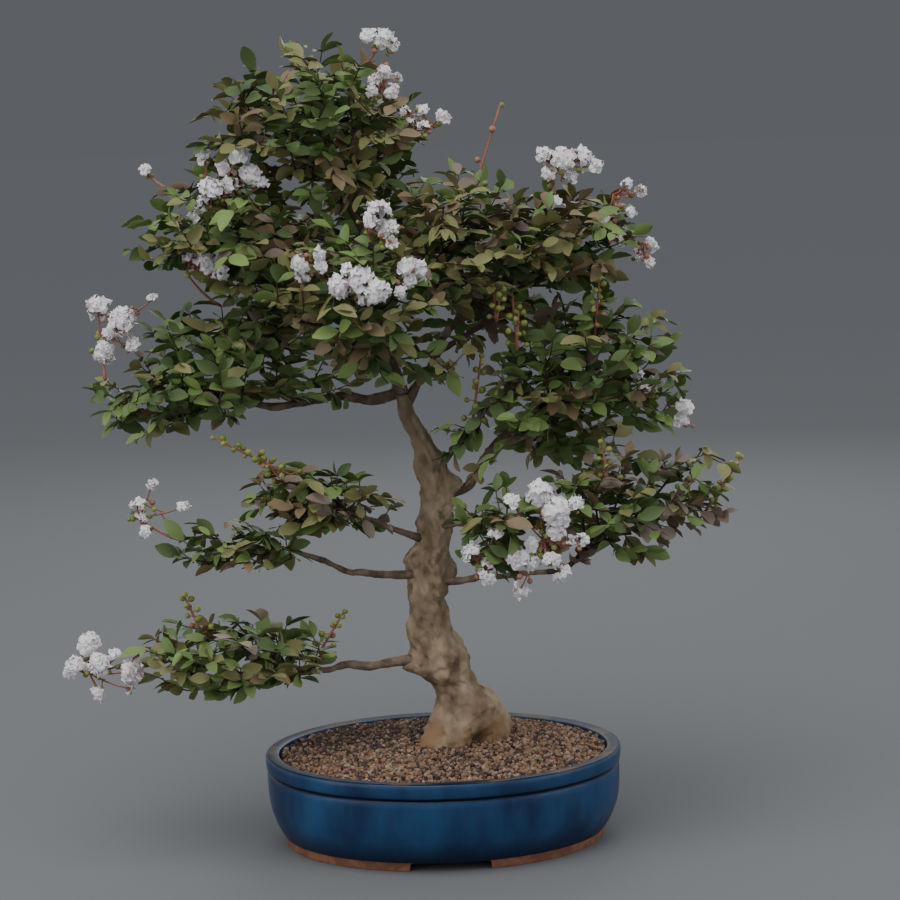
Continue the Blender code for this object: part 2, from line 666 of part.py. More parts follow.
def make_mass(name, seed, paths, rooms, blocked, section, collection):
    bough, _, twig_count = MASSES[name]
    rng = np.random.default_rng(seed)
    path = paths[bough]
    heading = (path[-1] - path[-2]) / np.linalg.norm(path[-1] - path[-2])
    foot = path[-1] + heading * 1.3 * GAP
    parts = new_collection(name + "_parts")
    tips = spread_tips(name, twig_count, rooms, rng)
    points, parents = grow_twigs(foot, heading, tips, blocked, section, parts)
    carried = [1 if point % 2 == 1 else 0 for point in range(len(points))]
    own = Blocked(0.2)
    add_heads(name, points, carried, blocked, own, section, parts, rng)
    radii = np.minimum(twig_radii(parents, carried), BOUGHS[bough][4])
    for chain in limb_chains(points, parents, radii):
        swell = radii[chain]
        swell[0] = min(swell[0], 1.2 * swell[1])
        home = parts if chain[0] else collection
        made = tube("twig" if chain[0] else name, points[chain], swell, home, section)
        if not chain[0]:
            stem = made
    add_leaves(name, points, parents, round(LEAVES_PER_TWIG * twig_count), rooms, blocked, own, parts, rng)
    fuse(stem, parts)
    blocked.add(stem)
    return stem


def limb_section(name, sides, cutters):
    """The section that limbs are swept with: a regular outline, one millimetre in radius."""
    curve = bpy.data.curves.new(name, "CURVE")
    spline = curve.splines.new("POLY")
    spline.points.add(sides - 1)
    for corner, point in enumerate(spline.points):
        turn = corner * 2 * math.pi / sides
        point.co = (math.cos(turn) * MM, math.sin(turn) * MM, 0.0, 1.0)
    spline.use_cyclic_u = True
    made = add_object(name, curve, cutters)
    made.hide_render = True
    made.display_type = "WIRE"
    return made


def centre_on_box(made):
    """Moves every mesh so that the middle of the underside of the whole box is the origin."""
    corners = np.array([vert.co for part in made for vert in part.data.vertices])
    low, high = corners.min(axis=0), corners.max(axis=0)
    shift = Matrix.Translation((-(low[0] + high[0]) / 2, -(low[1] + high[1]) / 2, -low[2]))
    for part in made:
        part.data.transform(shift)
    return shift


def main():
    clear_scene()
    tree = new_collection("crape_myrtle_bonsai")
    cutters = new_collection("cutters")
    pot = make_pot(tree, cutters)
    apply_shape(pot)
    gravel = make_gravel(tree)
    trunk = make_trunk(tree)
    paths = bough_paths()
    boughs = make_boughs(paths, trunk, limb_section("bough_section", 5, cutters), tree, cutters)
    blocked = Blocked(1.2)
    for solid in (*boughs.values(), pot, gravel):
        blocked.add(solid)
    rooms = spaces()
    section = limb_section("twig_section", 3, cutters)
    masses = [make_mass(name, SEED + order, paths, rooms, blocked, section, tree)
              for order, name in enumerate(MASSES)]
    looks = {name: finish(name) for name in COLOURS}
    pot.data.materials.append(looks["pot"])
    gravel.data.materials.append(looks["gravel"])
    for limb in boughs.values():
        limb.data.materials.append(looks["bark"])
    for mass in masses:
        mass.data.materials.append(looks["foliage"])
    centre_on_box([pot, gravel, *boughs.values(), *masses])


main()
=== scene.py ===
# %% [markdown]
# # A crape myrtle bonsai in flower
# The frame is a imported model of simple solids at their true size: a pot, its gravel, a trunk, boughs
# and rough masses of foliage. This lesson dresses it. Each piece is a surface worked out with numpy and
# laid over the solid that it stands for, so the dressed tree keeps the measures of the frame.

# %% The frame and its measures
import math

import bpy
import numpy as np
from mathutils import Matrix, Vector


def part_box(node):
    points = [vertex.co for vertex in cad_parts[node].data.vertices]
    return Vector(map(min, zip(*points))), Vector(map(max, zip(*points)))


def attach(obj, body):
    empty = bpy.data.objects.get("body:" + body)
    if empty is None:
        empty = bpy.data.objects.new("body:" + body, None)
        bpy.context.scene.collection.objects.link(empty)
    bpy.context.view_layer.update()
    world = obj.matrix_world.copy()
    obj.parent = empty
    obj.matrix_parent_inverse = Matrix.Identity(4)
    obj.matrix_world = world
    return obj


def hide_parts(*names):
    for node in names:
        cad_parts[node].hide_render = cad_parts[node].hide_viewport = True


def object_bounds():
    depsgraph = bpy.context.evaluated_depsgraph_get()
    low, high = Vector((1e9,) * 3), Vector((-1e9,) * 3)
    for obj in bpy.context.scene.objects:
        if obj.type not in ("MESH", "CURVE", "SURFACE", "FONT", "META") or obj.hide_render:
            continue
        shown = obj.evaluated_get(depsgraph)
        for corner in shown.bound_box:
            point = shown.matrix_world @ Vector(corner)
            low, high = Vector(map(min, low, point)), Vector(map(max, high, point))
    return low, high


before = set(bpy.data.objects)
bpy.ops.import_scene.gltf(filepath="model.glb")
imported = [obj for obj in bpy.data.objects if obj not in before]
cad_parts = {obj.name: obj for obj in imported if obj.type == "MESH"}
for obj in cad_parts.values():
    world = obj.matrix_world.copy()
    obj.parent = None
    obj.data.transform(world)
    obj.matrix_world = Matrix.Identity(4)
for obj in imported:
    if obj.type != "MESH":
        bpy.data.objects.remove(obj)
cad_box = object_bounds()
MM = 0.001
SEED = 7
pot_low, pot_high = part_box("pot")
HOME = np.array([(pot_low[0] + pot_high[0]) / 2, (pot_low[1] + pot_high[1]) / 2, 0.0])
LOW, HIGH = [(np.array(corner) - HOME) / MM for corner in cad_box]
masses = sorted(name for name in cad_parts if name.endswith("_mass"))
boughs = sorted(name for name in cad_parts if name.endswith("_bough") or name == "leader")
print("pot's centre", HOME.round(4), "masses", len(masses), "boughs", len(boughs))

# %% [markdown]
# ## Camera
# The view is from about the height of the crown, a little to the left, through a long lens, so the
# oval lip shows as a narrow ellipse. A camera could be aimed by a constraint. Here its three
# directions are worked out as unit vectors instead, because the blossom cell uses the same vectors
# to tell where a point of the view lies in space.

# %% Camera
EYE = np.array([-0.08698, -2.30841, 0.722])
PITCH, BEARING, ROLL = math.radians(8.03), math.radians(-2.53), math.radians(-1.55)
FOCAL_PIXELS = 2342.0
VIEW_PIXELS = 900.0
ahead = np.array([-math.sin(BEARING) * math.cos(PITCH), math.cos(BEARING) * math.cos(PITCH),
                  -math.sin(PITCH)])
level = np.array([math.cos(BEARING), math.sin(BEARING), 0.0])
upward = np.cross(level, ahead)
across = level * math.cos(ROLL) + upward * math.sin(ROLL)
upward = upward * math.cos(ROLL) - level * math.sin(ROLL)
lens = bpy.data.cameras.new("camera")
lens.sensor_width = 36.0
lens.lens = lens.sensor_width * FOCAL_PIXELS / VIEW_PIXELS
lens.dof.use_dof = False
camera = bpy.data.objects.new("camera", lens)
turned = Matrix(np.stack([across, upward, -ahead], axis=1).tolist()).to_4x4()
turned.translation = (EYE + HOME).tolist()
camera.matrix_world = turned
bpy.context.scene.collection.objects.link(camera)
bpy.context.scene.camera = camera
print("camera at", (EYE + HOME).round(3), "lens", round(lens.lens, 1), "mm")

# %% [markdown]
# ## Light
# A plant is best shown in even, soft light. One strong lamp would leave the depth of the crown black,
# because its leaves are lit only by what comes through the gaps. So a wide lamp hangs above, weaker
# ones stand round about, and a glow comes from all sides. The camera sees the far end of the floor
# and not the glow: the sky has the floor's tone there, and the floor shows no edge.

# %% Light
SKY_GLOW = (0.56, 0.57, 0.59, 1.0)
SKY_SEEN = (0.113, 0.119, 0.128, 1.0)
AIM_HEIGHT = 0.4
# Name, place in metres, power in watts and width in metres.
LAMPS = [("top_lamp", (-0.5, -1.0, 2.6), 30.0, 1.9), ("left_lamp", (-2.2, -1.4, 1.1), 13.0, 1.6),
         ("right_lamp", (2.2, -1.0, 1.0), 9.0, 1.6), ("back_lamp", (0.4, 2.2, 1.6), 12.0, 1.4)]
world = bpy.data.worlds.new("studio")
world.use_nodes = True
sees = world.node_tree.nodes.new("ShaderNodeLightPath")
tone = world.node_tree.nodes.new("ShaderNodeMix")
tone.data_type = "RGBA"
tone.inputs["A"].default_value = SKY_GLOW
tone.inputs["B"].default_value = SKY_SEEN
world.node_tree.links.new(sees.outputs["Is Camera Ray"], tone.inputs["Factor"])
world.node_tree.links.new(tone.outputs["Result"], world.node_tree.nodes["Background"].inputs["Color"])
bpy.context.scene.world = world


def soft_lamp(name, place, power, size):
    """A square area lamp. A lamp shines down its own -z, so z is the unit vector back from the aim to
    the lamp, x is square to it and to the depth of the scene, and y is z cross x."""
    light = bpy.data.lights.new(name, "AREA")
    light.energy = power
    light.size = size
    back = np.array(place) - HOME - [0.0, 0.0, AIM_HEIGHT]
    back /= np.linalg.norm(back)
    side = np.cross([0.0, 1.0, 0.001], back)
    side /= np.linalg.norm(side)
    pose = Matrix(np.stack([side, np.cross(back, side), back], axis=1).tolist()).to_4x4()
    pose.translation = place
    lamp = bpy.data.objects.new(name, light)
    lamp.matrix_world = pose
    bpy.context.scene.collection.objects.link(lamp)


for lamp_row in LAMPS:
    soft_lamp(*lamp_row)
print("lamps", len(LAMPS))

# %% [markdown]
# ## Putting arrays in a mesh
# Blender's own shapes are few, and adding thousands of leaves as objects is slow. Instead every piece
# below is an array of points and one or more arrays of faces, and one helper puts them into a mesh at
# once with foreach_set. It also says which body the piece rides on and the solids it stands for.

# %% From arrays to a piece
def put_mesh(name, points, faces, looks, stands_for=(), which=None, smooth=True):
    """Points are in millimetres round the pot's centre. Faces is a list of index arrays, each with
    one row a face. Which gives each face's place in the list of looks."""
    mesh = bpy.data.meshes.new(name)
    mesh.vertices.add(len(points))
    mesh.vertices.foreach_set("co", (points * MM + HOME).astype(np.float32).ravel())
    corners = np.concatenate([group.ravel() for group in faces])
    totals = np.concatenate([np.full(len(group), group.shape[1]) for group in faces])
    mesh.loops.add(len(corners))
    mesh.loops.foreach_set("vertex_index", corners.astype(np.int32))
    mesh.polygons.add(len(totals))
    mesh.polygons.foreach_set("loop_start", (np.cumsum(totals) - totals).astype(np.int32))
    mesh.polygons.foreach_set("loop_total", totals.astype(np.int32))
    for look in looks:
        mesh.materials.append(look)
    if which is not None:
        mesh.polygons.foreach_set("material_index", np.asarray(which, dtype=np.int32))
    mesh.polygons.foreach_set("use_smooth", np.full(len(totals), smooth))
    mesh.update(calc_edges=True)
    piece = bpy.data.objects.new(name, mesh)
    bpy.context.scene.collection.objects.link(piece)
    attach(piece, "root")
    if stands_for:
        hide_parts(*stands_for)
    print(name, len(points), "points", int((totals - 2).sum()), "triangles")
    return piece


# %% [markdown]
# ## Grids, tubes and relief
# A lathe shape, a bough and a leaf are all grids: rows of points, joined to their neighbours by quads.
# Where a grid is rolled up, a fan of triangles closes each end, so no seam or pole stays open. Tubes
# are rolled grids along paths. They could be Blender curves with a bevel, but arrays make hundreds of
# twigs in one step. The relief is a smooth noise that dents and swells a surface.

# %% Grid faces
def unit(vectors):
    """Each vector divided by its length."""
    return vectors / np.maximum(np.linalg.norm(vectors, axis=-1, keepdims=True), 1e-9)


def grid_faces(rows, columns, closed):
    """The quads between neighbours on a grid, joined round along the columns where it is closed."""
    row = np.arange(rows - 1)[:, None]
    column = np.arange(columns if closed else columns - 1)[None, :]
    beside = (column + 1) % columns
    quads = np.stack([row * columns + column, row * columns + beside,
                      (row + 1) * columns + beside, (row + 1) * columns + column], axis=-1)
    return quads.reshape(-1, 4)


def closed_faces(rows, around):
    """The quads of a rolled grid and the fans that close it. The points are the grid's, row by row,
    then the middle of the first row and the middle of the last."""
    side = np.arange(around)
    beside = (side + 1) % around
    last = (rows - 1) * around
    first_fan = np.stack([np.full(around, rows * around), beside, side], axis=1)
    last_fan = np.stack([np.full(around, rows * around + 1), last + side, last + beside], axis=1)
    return [grid_faces(rows, around, True), np.concatenate([first_fan, last_fan])]


def repeated(faces, count, step):
    """The faces of one shape for each of its copies, whose points follow each other by a step."""
    return (faces[None] + (np.arange(count) * step)[:, None, None]).reshape(-1, faces.shape[1])


print("a closed grid of 3 rows of 4 has", sum(len(group) for group in closed_faces(3, 4)), "faces")


# %% Tubes and relief
def tubes(centres, radii, sides):
    """Many tubes of equal counts: the point at ring j and side k is path point j + radius j times
    (cos of the turn along one normal + sin along the other)."""
    count, rings = radii.shape
    along = unit(np.gradient(centres, axis=1))
    steep = np.abs(along[:, :1, 2:]) > 0.8
    first = unit(np.cross(along, np.where(steep, [[[0.0, 1.0, 0.0]]], [[[0.0, 0.0, 1.0]]])))
    second = np.cross(along, first)
    turn = np.arange(sides) * 2 * math.pi / sides
    skin = centres[:, :, None] + radii[:, :, None, None] * (
        first[:, :, None] * np.cos(turn)[:, None] + second[:, :, None] * np.sin(turn)[:, None])
    points = np.concatenate([skin.reshape(count, rings * sides, 3), centres[:, [0, -1]]], axis=1)
    step = rings * sides + 2
    return points.reshape(-1, 3), [repeated(group, count, step) for group in closed_faces(rings, sides)]


def relief(points, wave, seed, waves=14):
    """A smooth noise of about -2 to 2: the sum of sine waves in random directions, each about a wave
    long, divided by the root of their count."""
    rng = np.random.default_rng(seed)
    ways = unit(rng.normal(size=(waves, 3))) * (2 * math.pi / wave) * rng.uniform(0.6, 1.6, (waves, 1))
    return np.sin(points @ ways.T + rng.uniform(0, 2 * math.pi, waves)).sum(axis=-1) / waves ** 0.5


print("relief at the origin", float(relief(np.zeros(3), 10.0, SEED).round(3)))

# %% [markdown]
# ## Finishes
# Glaze, clay, soil and bark vary over their surface, so they share one node group: a noise in object
# space, stretched between two limits to a mask. An image texture would need unwrapping, and the noise
# needs none. Leaves, petals and buds are too small to show a pattern, so each is one plain colour out
# of a few.

# %% Shared noise group
def make_noise_group():
    """Mask = the noise at a scale, mapped from the limits Low and High to 0 and 1. Stretch multiplies
    the height first, and below 1 it draws the pattern out upwards."""
    group = bpy.data.node_groups.new("soft_noise", "ShaderNodeTree")
    for name, value in (("Scale", 50.0), ("Low", 0.4), ("High", 0.6), ("Stretch", 1.0)):
        socket = group.interface.new_socket(name=name, in_out="INPUT", socket_type="NodeSocketFloat")
        socket.default_value = value
    group.interface.new_socket(name="Mask", in_out="OUTPUT", socket_type="NodeSocketFloat")
    nodes, links = group.nodes, group.links
    inputs, outputs = nodes.new("NodeGroupInput"), nodes.new("NodeGroupOutput")
    place = nodes.new("ShaderNodeTexCoord")
    squeeze = nodes.new("ShaderNodeVectorMath")
    squeeze.operation = "MULTIPLY"
    joined = nodes.new("ShaderNodeCombineXYZ")
    joined.inputs["X"].default_value = 1.0
    joined.inputs["Y"].default_value = 1.0
    noise = nodes.new("ShaderNodeTexNoise")
    noise.inputs["Detail"].default_value = 6.0
    reach = nodes.new("ShaderNodeMapRange")
    links.new(inputs.outputs["Stretch"], joined.inputs["Z"])
    links.new(place.outputs["Object"], squeeze.inputs[0])
    links.new(joined.outputs["Vector"], squeeze.inputs[1])
    links.new(squeeze.outputs["Vector"], noise.inputs["Vector"])
    links.new(inputs.outputs["Scale"], noise.inputs["Scale"])
    links.new(noise.outputs["Fac"], reach.inputs["Value"])
    links.new(inputs.outputs["Low"], reach.inputs["From Min"])
    links.new(inputs.outputs["High"], reach.inputs["From Max"])
    links.new(reach.outputs["Result"], outputs.inputs["Mask"])
    return group


NOISE = make_noise_group()
print("node group", NOISE.name, "with", len(NOISE.nodes), "nodes")


# %% Material helpers
def plain_look(name, colour, roughness, **more):
    """A Principled material with constants on its own sockets."""
    look = bpy.data.materials.new(name)
    look.use_nodes = True
    shader = look.node_tree.nodes["Principled BSDF"]
    shader.inputs["Base Color"].default_value = (*colour, 1.0)
    shader.inputs["Roughness"].default_value = roughness
    for socket, value in more.items():
        shader.inputs[socket.replace("_", " ")].default_value = value
    return look


def noise_mask(look, scale, low, high, stretch=1.0):
    """The shared noise in a material, with this finish's own values."""
    node = look.node_tree.nodes.new("ShaderNodeGroup")
    node.node_tree = NOISE
    for name, value in (("Scale", scale), ("Low", low), ("High", high), ("Stretch", stretch)):
        node.inputs[name].default_value = value
    return node.outputs["Mask"]


def height_mask(look, low, high):
    """0 below the first height and 1 above the second, in metres."""
    tree = look.node_tree
    split = tree.nodes.new("ShaderNodeSeparateXYZ")
    tree.links.new(tree.nodes.new("ShaderNodeTexCoord").outputs["Object"], split.inputs["Vector"])
    reach = tree.nodes.new("ShaderNodeMapRange")
    reach.inputs["From Min"].default_value = low
    reach.inputs["From Max"].default_value = high
    tree.links.new(split.outputs["Z"], reach.inputs["Value"])
    return reach.outputs["Result"]


def times(look, first, second):
    """Two masks multiplied: 1 only where both are."""
    node = look.node_tree.nodes.new("ShaderNodeMath")
    node.operation = "MULTIPLY"
    look.node_tree.links.new(first, node.inputs[0])
    look.node_tree.links.new(second, node.inputs[1])
    return node.outputs["Value"]


def mixed(look, mask, below, above):
    """Below where the mask is 0 and above where it is 1. Each is a colour or a socket."""
    mix = look.node_tree.nodes.new("ShaderNodeMix")
    mix.data_type = "RGBA"
    look.node_tree.links.new(mask, mix.inputs["Factor"])
    for socket, value in ((mix.inputs["A"], below), (mix.inputs["B"], above)):
        if isinstance(value, tuple):
            socket.default_value = (*value, 1.0)
        else:
            look.node_tree.links.new(value, socket)
    return mix.outputs["Result"]


def paint(look, colour):
    """The colour becomes the shader's base colour."""
    look.node_tree.links.new(colour, look.node_tree.nodes["Principled BSDF"].inputs["Base Color"])


def bump(look, mask, distance, strength=1.0):
    """The mask tilts the shading as if the surface rose by the distance, in metres."""
    tree = look.node_tree
    node = tree.nodes.new("ShaderNodeBump")
    node.inputs["Distance"].default_value = distance
    node.inputs["Strength"].default_value = strength
    tree.links.new(mask, node.inputs["Height"])
    tree.links.new(node.outputs["Normal"], tree.nodes["Principled BSDF"].inputs["Normal"])


print("material helpers ready, materials so far", len(bpy.data.materials))

# %% [markdown]
# ## Glaze and clay
# On a real pot, blue glaze thins to a brighter blue on the belly. It wears through to brown on the lip,
# and the foot is bare clay. The underside of the belly is darkened to navy as painted shade, and the
# groove under the rim band to a deeper navy as a painted shadow. These zones follow the height, so masks
# by height tint the blue, and noise breaks up their edges. A ramp over the whole height would give bands
# as clean as paint.

# %% Glaze
NAVY, BELLY_BLUE = (0.010, 0.030, 0.088), (0.019, 0.080, 0.190)
# The navy low on the pot is painted shade on the underside of the belly, and the deeper navy in the groove
# is a painted shadow under the rim band.
UNDERSIDE_SHADE_NAVY, GROOVE_SHADOW_NAVY, LIP_NAVY = (0.004, 0.016, 0.055), (0.005, 0.012, 0.036), (0.003, 0.009, 0.026)
WORN_BROWN, PIT_BROWN = (0.075, 0.050, 0.036), (0.02, 0.016, 0.016)
BASE_LOW, BASE_HIGH = 0.012, 0.034
GROOVE_LOW, GROOVE_HIGH = 0.0735, 0.0795
LIP_LOW, LIP_HIGH = 0.0922, 0.0929
WEAR_LOW, WEAR_HIGH = 0.0908, 0.0930
GROOVE_EDGE = 0.002
SHINE, LIP_SHINE = 0.30, 0.06
glaze = plain_look("blue_glaze", (0.012, 0.06, 0.19), 0.34, Specular_IOR_Level=0.28)
blue = mixed(glaze, noise_mask(glaze, 26.0, 0.35, 0.66, 0.35), NAVY, BELLY_BLUE)
# Painted shade: the underside of the belly is darkened to navy towards the foot.
blue = mixed(glaze, height_mask(glaze, BASE_LOW, BASE_HIGH), UNDERSIDE_SHADE_NAVY, blue)
# Painted shadow: the groove under the rim band is darkened to a deeper navy.
groove = times(glaze, height_mask(glaze, GROOVE_LOW, GROOVE_LOW + GROOVE_EDGE),
               height_mask(glaze, GROOVE_HIGH, GROOVE_HIGH - GROOVE_EDGE))
blue = mixed(glaze, groove, blue, GROOVE_SHADOW_NAVY)
lip = height_mask(glaze, LIP_LOW, LIP_HIGH)
blue = mixed(glaze, lip, blue, LIP_NAVY)
worn = times(glaze, height_mask(glaze, WEAR_LOW, WEAR_HIGH), noise_mask(glaze, 24.0, 0.50, 0.60))
blue = mixed(glaze, worn, blue, WORN_BROWN)
paint(glaze, mixed(glaze, noise_mask(glaze, 420.0, 0.70, 0.74), blue, PIT_BROWN))
# The worn lip reflects less. The export drops this link and keeps the level given above.
dull_lip = glaze.node_tree.nodes.new("ShaderNodeMapRange")
dull_lip.inputs["To Min"].default_value = SHINE
dull_lip.inputs["To Max"].default_value = LIP_SHINE
glaze.node_tree.links.new(lip, dull_lip.inputs["Value"])
glaze.node_tree.links.new(dull_lip.outputs["Result"],
                          glaze.node_tree.nodes["Principled BSDF"].inputs["Specular IOR Level"])
bump(glaze, noise_mask(glaze, 60.0, 0.2, 0.8), 0.0006, 0.5)

clay = plain_look("unglazed_clay", (0.27, 0.115, 0.062), 0.85)
paint(clay, mixed(clay, noise_mask(clay, 90.0, 0.4, 0.65), (0.21, 0.085, 0.048), (0.33, 0.155, 0.09)))
bump(clay, noise_mask(clay, 900.0, 0.3, 0.7), 0.0002)
print("glaze has", len(glaze.node_tree.nodes), "nodes, clay", len(clay.node_tree.nodes))

# %% [markdown]
# ## The pot
# A thrown or moulded oval bowl is one ellipse carried up a profile. Blender's screw modifier turns a
# profile into a round bowl, and scaling that to an oval would make the walls uneven. Here each row
# has its own half width and half depth, from under the foot, up the wall with its groove and rim
# band, over the lip and down inside.

# %% Pot
POT_HALF = np.array([180.0, 141.3])
POT_DRAW_IN = np.array([19.1, 23.3])
SIDES_ROUND = 192
CLAY_TOP = 9.05
# Height, share of the draw-in, and a step in from the outer wall in millimetres.
POT_PROFILE = np.array([
    (9.0, 1.0, 13.0), (0.6, 1.0, 12.2), (0.0, 1.0, 11.6), (0.0, 1.0, 1.0), (0.5, 0.99, 0.3),
    (4.5, 0.965, 0.0), (8.6, 0.93, 0.0), (9.2, 0.915, 0.0), (12.0, 0.80, 0.0), (16.0, 0.67, 0.0),
    (20.0, 0.56, 0.0), (25.0, 0.44, 0.0), (31.0, 0.33, 0.0), (37.0, 0.23, 0.0), (44.0, 0.15, 0.0),
    (52.0, 0.105, 0.0), (60.0, 0.08, 0.0), (68.0, 0.07, 0.0), (73.5, 0.075, 0.0), (75.3, 0.11, 0.0),
    (76.4, 0.17, 0.0), (77.6, 0.15, 0.0), (78.8, 0.06, 0.0), (80.5, 0.03, 0.0), (84.0, 0.01, 0.0),
    (88.5, 0.0, 0.0), (91.2, 0.01, 0.2), (92.6, 0.03, 0.7), (93.2, 0.05, 1.8), (93.0, 0.0, 7.0),
    (92.7, 0.0, 12.0), (92.0, 0.0, 13.4), (90.5, 0.0, 14.0), (84.0, 0.0, 15.0), (60.0, 0.10, 16.0)])
height, share, step_in = POT_PROFILE.T
half = POT_HALF[None] - POT_DRAW_IN[None] * share[:, None] - step_in[:, None]
turn = np.arange(SIDES_ROUND) * 2 * math.pi / SIDES_ROUND
wall = np.stack([half[:, :1] * np.cos(turn), half[:, 1:] * np.sin(turn),
                 np.repeat(height[:, None], SIDES_ROUND, axis=1)], axis=-1)
hand_made = 1 + 0.0022 * relief(wall, 60.0, 1) * (height[:, None] > 10) * (height[:, None] < 90)
wall[..., :2] *= hand_made[..., None]
points = np.concatenate([wall.reshape(-1, 3), [[0.0, 0.0, height[0]], [0.0, 0.0, height[-1]]]])
pot = put_mesh("glazed_pot", points, closed_faces(len(POT_PROFILE), SIDES_ROUND), [glaze, clay],
               ["pot"])

# %% [markdown]
# ## The cut in the foot
# The potter cuts the foot ring away in front and behind, so that water and air pass under the pot.
# Moving points of the profile would bend the ring. A Boolean cuts it clean, with one block that runs
# right through from front to back.

# %% Foot notches
NOTCH_WIDTH, NOTCH_SLANT, NOTCH_TOP = 84.0, 6.0, 9.0
corner = np.array([(x, y, z) for x in (-0.5, 0.5) for y in (-200.0, 200.0)
                   for z in (-NOTCH_TOP, NOTCH_TOP)])
corner[:, 0] *= NOTCH_WIDTH - NOTCH_SLANT * (corner[:, 2] > 0)
block = bpy.data.meshes.new("notch")
block.from_pydata((corner * MM + HOME).tolist(), [],
                  [(0, 1, 3, 2), (4, 6, 7, 5), (0, 4, 5, 1), (2, 3, 7, 6), (0, 2, 6, 4), (1, 5, 7, 3)])
cutter = bpy.data.objects.new("notch", block)
bpy.context.scene.collection.objects.link(cutter)
cut = pot.modifiers.new("notches", "BOOLEAN")
cut.operation = "DIFFERENCE"
cut.object = cutter
cut.solver = "EXACT"
bpy.context.view_layer.update()
seen = pot.evaluated_get(bpy.context.evaluated_depsgraph_get())
pot.data = bpy.data.meshes.new_from_object(seen)
pot.modifiers.clear()
bpy.data.objects.remove(cutter)
centres = np.zeros(len(pot.data.polygons) * 3, np.float32)
pot.data.polygons.foreach_get("center", centres)
bare = centres.reshape(-1, 3)[:, 2] < CLAY_TOP * MM
pot.data.polygons.foreach_set("material_index", bare.astype(np.int32))
pot.data.set_sharp_from_angle(angle=math.radians(40))
print("pot faces", len(bare), "of clay", int(bare.sum()))

# %% [markdown]
# ## The gravel bed
# Soil and gravel fill the pot and mound up to the foot of the trunk. A flat disc would leave the
# trunk's roots in the air. So the bed is a grid of ellipses that shrink from the inner wall to the
# edge of a small flat round the trunk, and rise on the way. It is near black, dark soil and painted shade
# together, because it only shows in the gaps between the grains, where shade falls.

# %% Gravel bed
LIP_INNER = POT_HALF - 14.3
FLAT_CENTRE = np.array([23.0, 4.0])
FLAT_HALF = np.array([62.0, 52.0])
BED_LOW, BED_RISE, BED_UNDER = 90.0, 10.0, 60.0
BED_ROWS, BED_ROUND = 40, 120
# The soil's near black is partly painted shade for the gaps between the grains.
soil = plain_look("soil_with_gap_shade", (0.035, 0.022, 0.015), 0.95)
paint(soil, mixed(soil, noise_mask(soil, 300.0, 0.4, 0.6), (0.02, 0.013, 0.009), (0.07, 0.044, 0.028)))
bump(soil, noise_mask(soil, 500.0, 0.3, 0.7), 0.0008)


def gravel_place(share, turn):
    """The bed's point at a share of the way from the wall (0) to the flat's edge (1) and on to its
    middle (2): ellipses that shrink and move to the flat, rising as 1 - (1 - share) to the 1.6."""
    run = np.minimum(share, 1.0)[..., None]
    spread = LIP_INNER + (FLAT_HALF - LIP_INNER) * run
    shrink = np.maximum(2.0 - np.maximum(share, 1.0), 0.0)[..., None]
    ring = np.stack([np.cos(turn), np.sin(turn)], axis=-1)
    flat = FLAT_CENTRE * run + spread * ring * shrink
    rise = BED_LOW + BED_RISE * (1 - (1 - run) ** 1.6)
    return np.concatenate([flat, rise], axis=-1)


share, turn = np.meshgrid(np.linspace(0.0, 1.98, BED_ROWS),
                          np.arange(BED_ROUND) * 2 * math.pi / BED_ROUND, indexing="ij")
bed = gravel_place(share, turn)
bed[..., 2] += relief(bed, 18.0, 3) * 0.8 - 2.0
under_ring = bed[:1] * [[[0.9, 0.9, 0.0]]] + [[[0.0, 0.0, BED_UNDER]]]
bed = np.concatenate([under_ring, bed])
middles = np.array([[0.0, 0.0, BED_UNDER], [*FLAT_CENTRE, 98.0]])
put_mesh("gravel_bed", np.concatenate([bed.reshape(-1, 3), middles]), closed_faces(len(bed), BED_ROUND),
         [soil], ["gravel"])

# %% [markdown]
# ## Grains
# The top dressing is baked clay and grit, 3 to 6 mm across, in tans, browns and near black. A bumped
# texture would look flat from the low view. So thousands of grains lie on the bed, each an
# icosahedron with its own stretch, turn and one of six tints. Twenty flat faces give the broken look
# of a crushed stone.

# %% Icosahedron
GOLDEN = (1 + 5 ** 0.5) / 2
BALL = unit(np.array([(-1, GOLDEN, 0), (1, GOLDEN, 0), (-1, -GOLDEN, 0), (1, -GOLDEN, 0), (0, -1, GOLDEN),
                      (0, 1, GOLDEN), (0, -1, -GOLDEN), (0, 1, -GOLDEN), (GOLDEN, 0, -1), (GOLDEN, 0, 1),
                      (-GOLDEN, 0, -1), (-GOLDEN, 0, 1)]))
BALL_FACES = np.array([
    (0, 11, 5), (0, 5, 1), (0, 1, 7), (0, 7, 10), (0, 10, 11), (1, 5, 9), (5, 11, 4), (11, 10, 2),
    (10, 7, 6), (7, 1, 8), (3, 9, 4), (3, 4, 2), (3, 2, 6), (3, 6, 8), (3, 8, 9), (4, 9, 5),
    (2, 4, 11), (6, 2, 10), (8, 6, 7), (9, 8, 1)])


def random_turns(count, rng):
    """Rotation matrices made from random unit quaternions by the usual formula."""
    w, x, y, z = unit(rng.normal(size=(count, 4))).T
    rows = [1 - 2 * (y * y + z * z), 2 * (x * y - w * z), 2 * (x * z + w * y),
            2 * (x * y + w * z), 1 - 2 * (x * x + z * z), 2 * (y * z - w * x),
            2 * (x * z - w * y), 2 * (y * z + w * x), 1 - 2 * (x * x + y * y)]
    return np.stack(rows, axis=1).reshape(-1, 3, 3)


def balls(centres, sizes, turns):
    """Each ball's points are the icosahedron's, scaled by its three sizes, turned and moved."""
    points = np.einsum("nij,nkj->nki", turns, BALL[None] * sizes[:, None]) + centres[:, None]
    return points.reshape(-1, 3), repeated(BALL_FACES, len(centres), len(BALL))


print("icosahedron", len(BALL), "points", len(BALL_FACES), "faces")

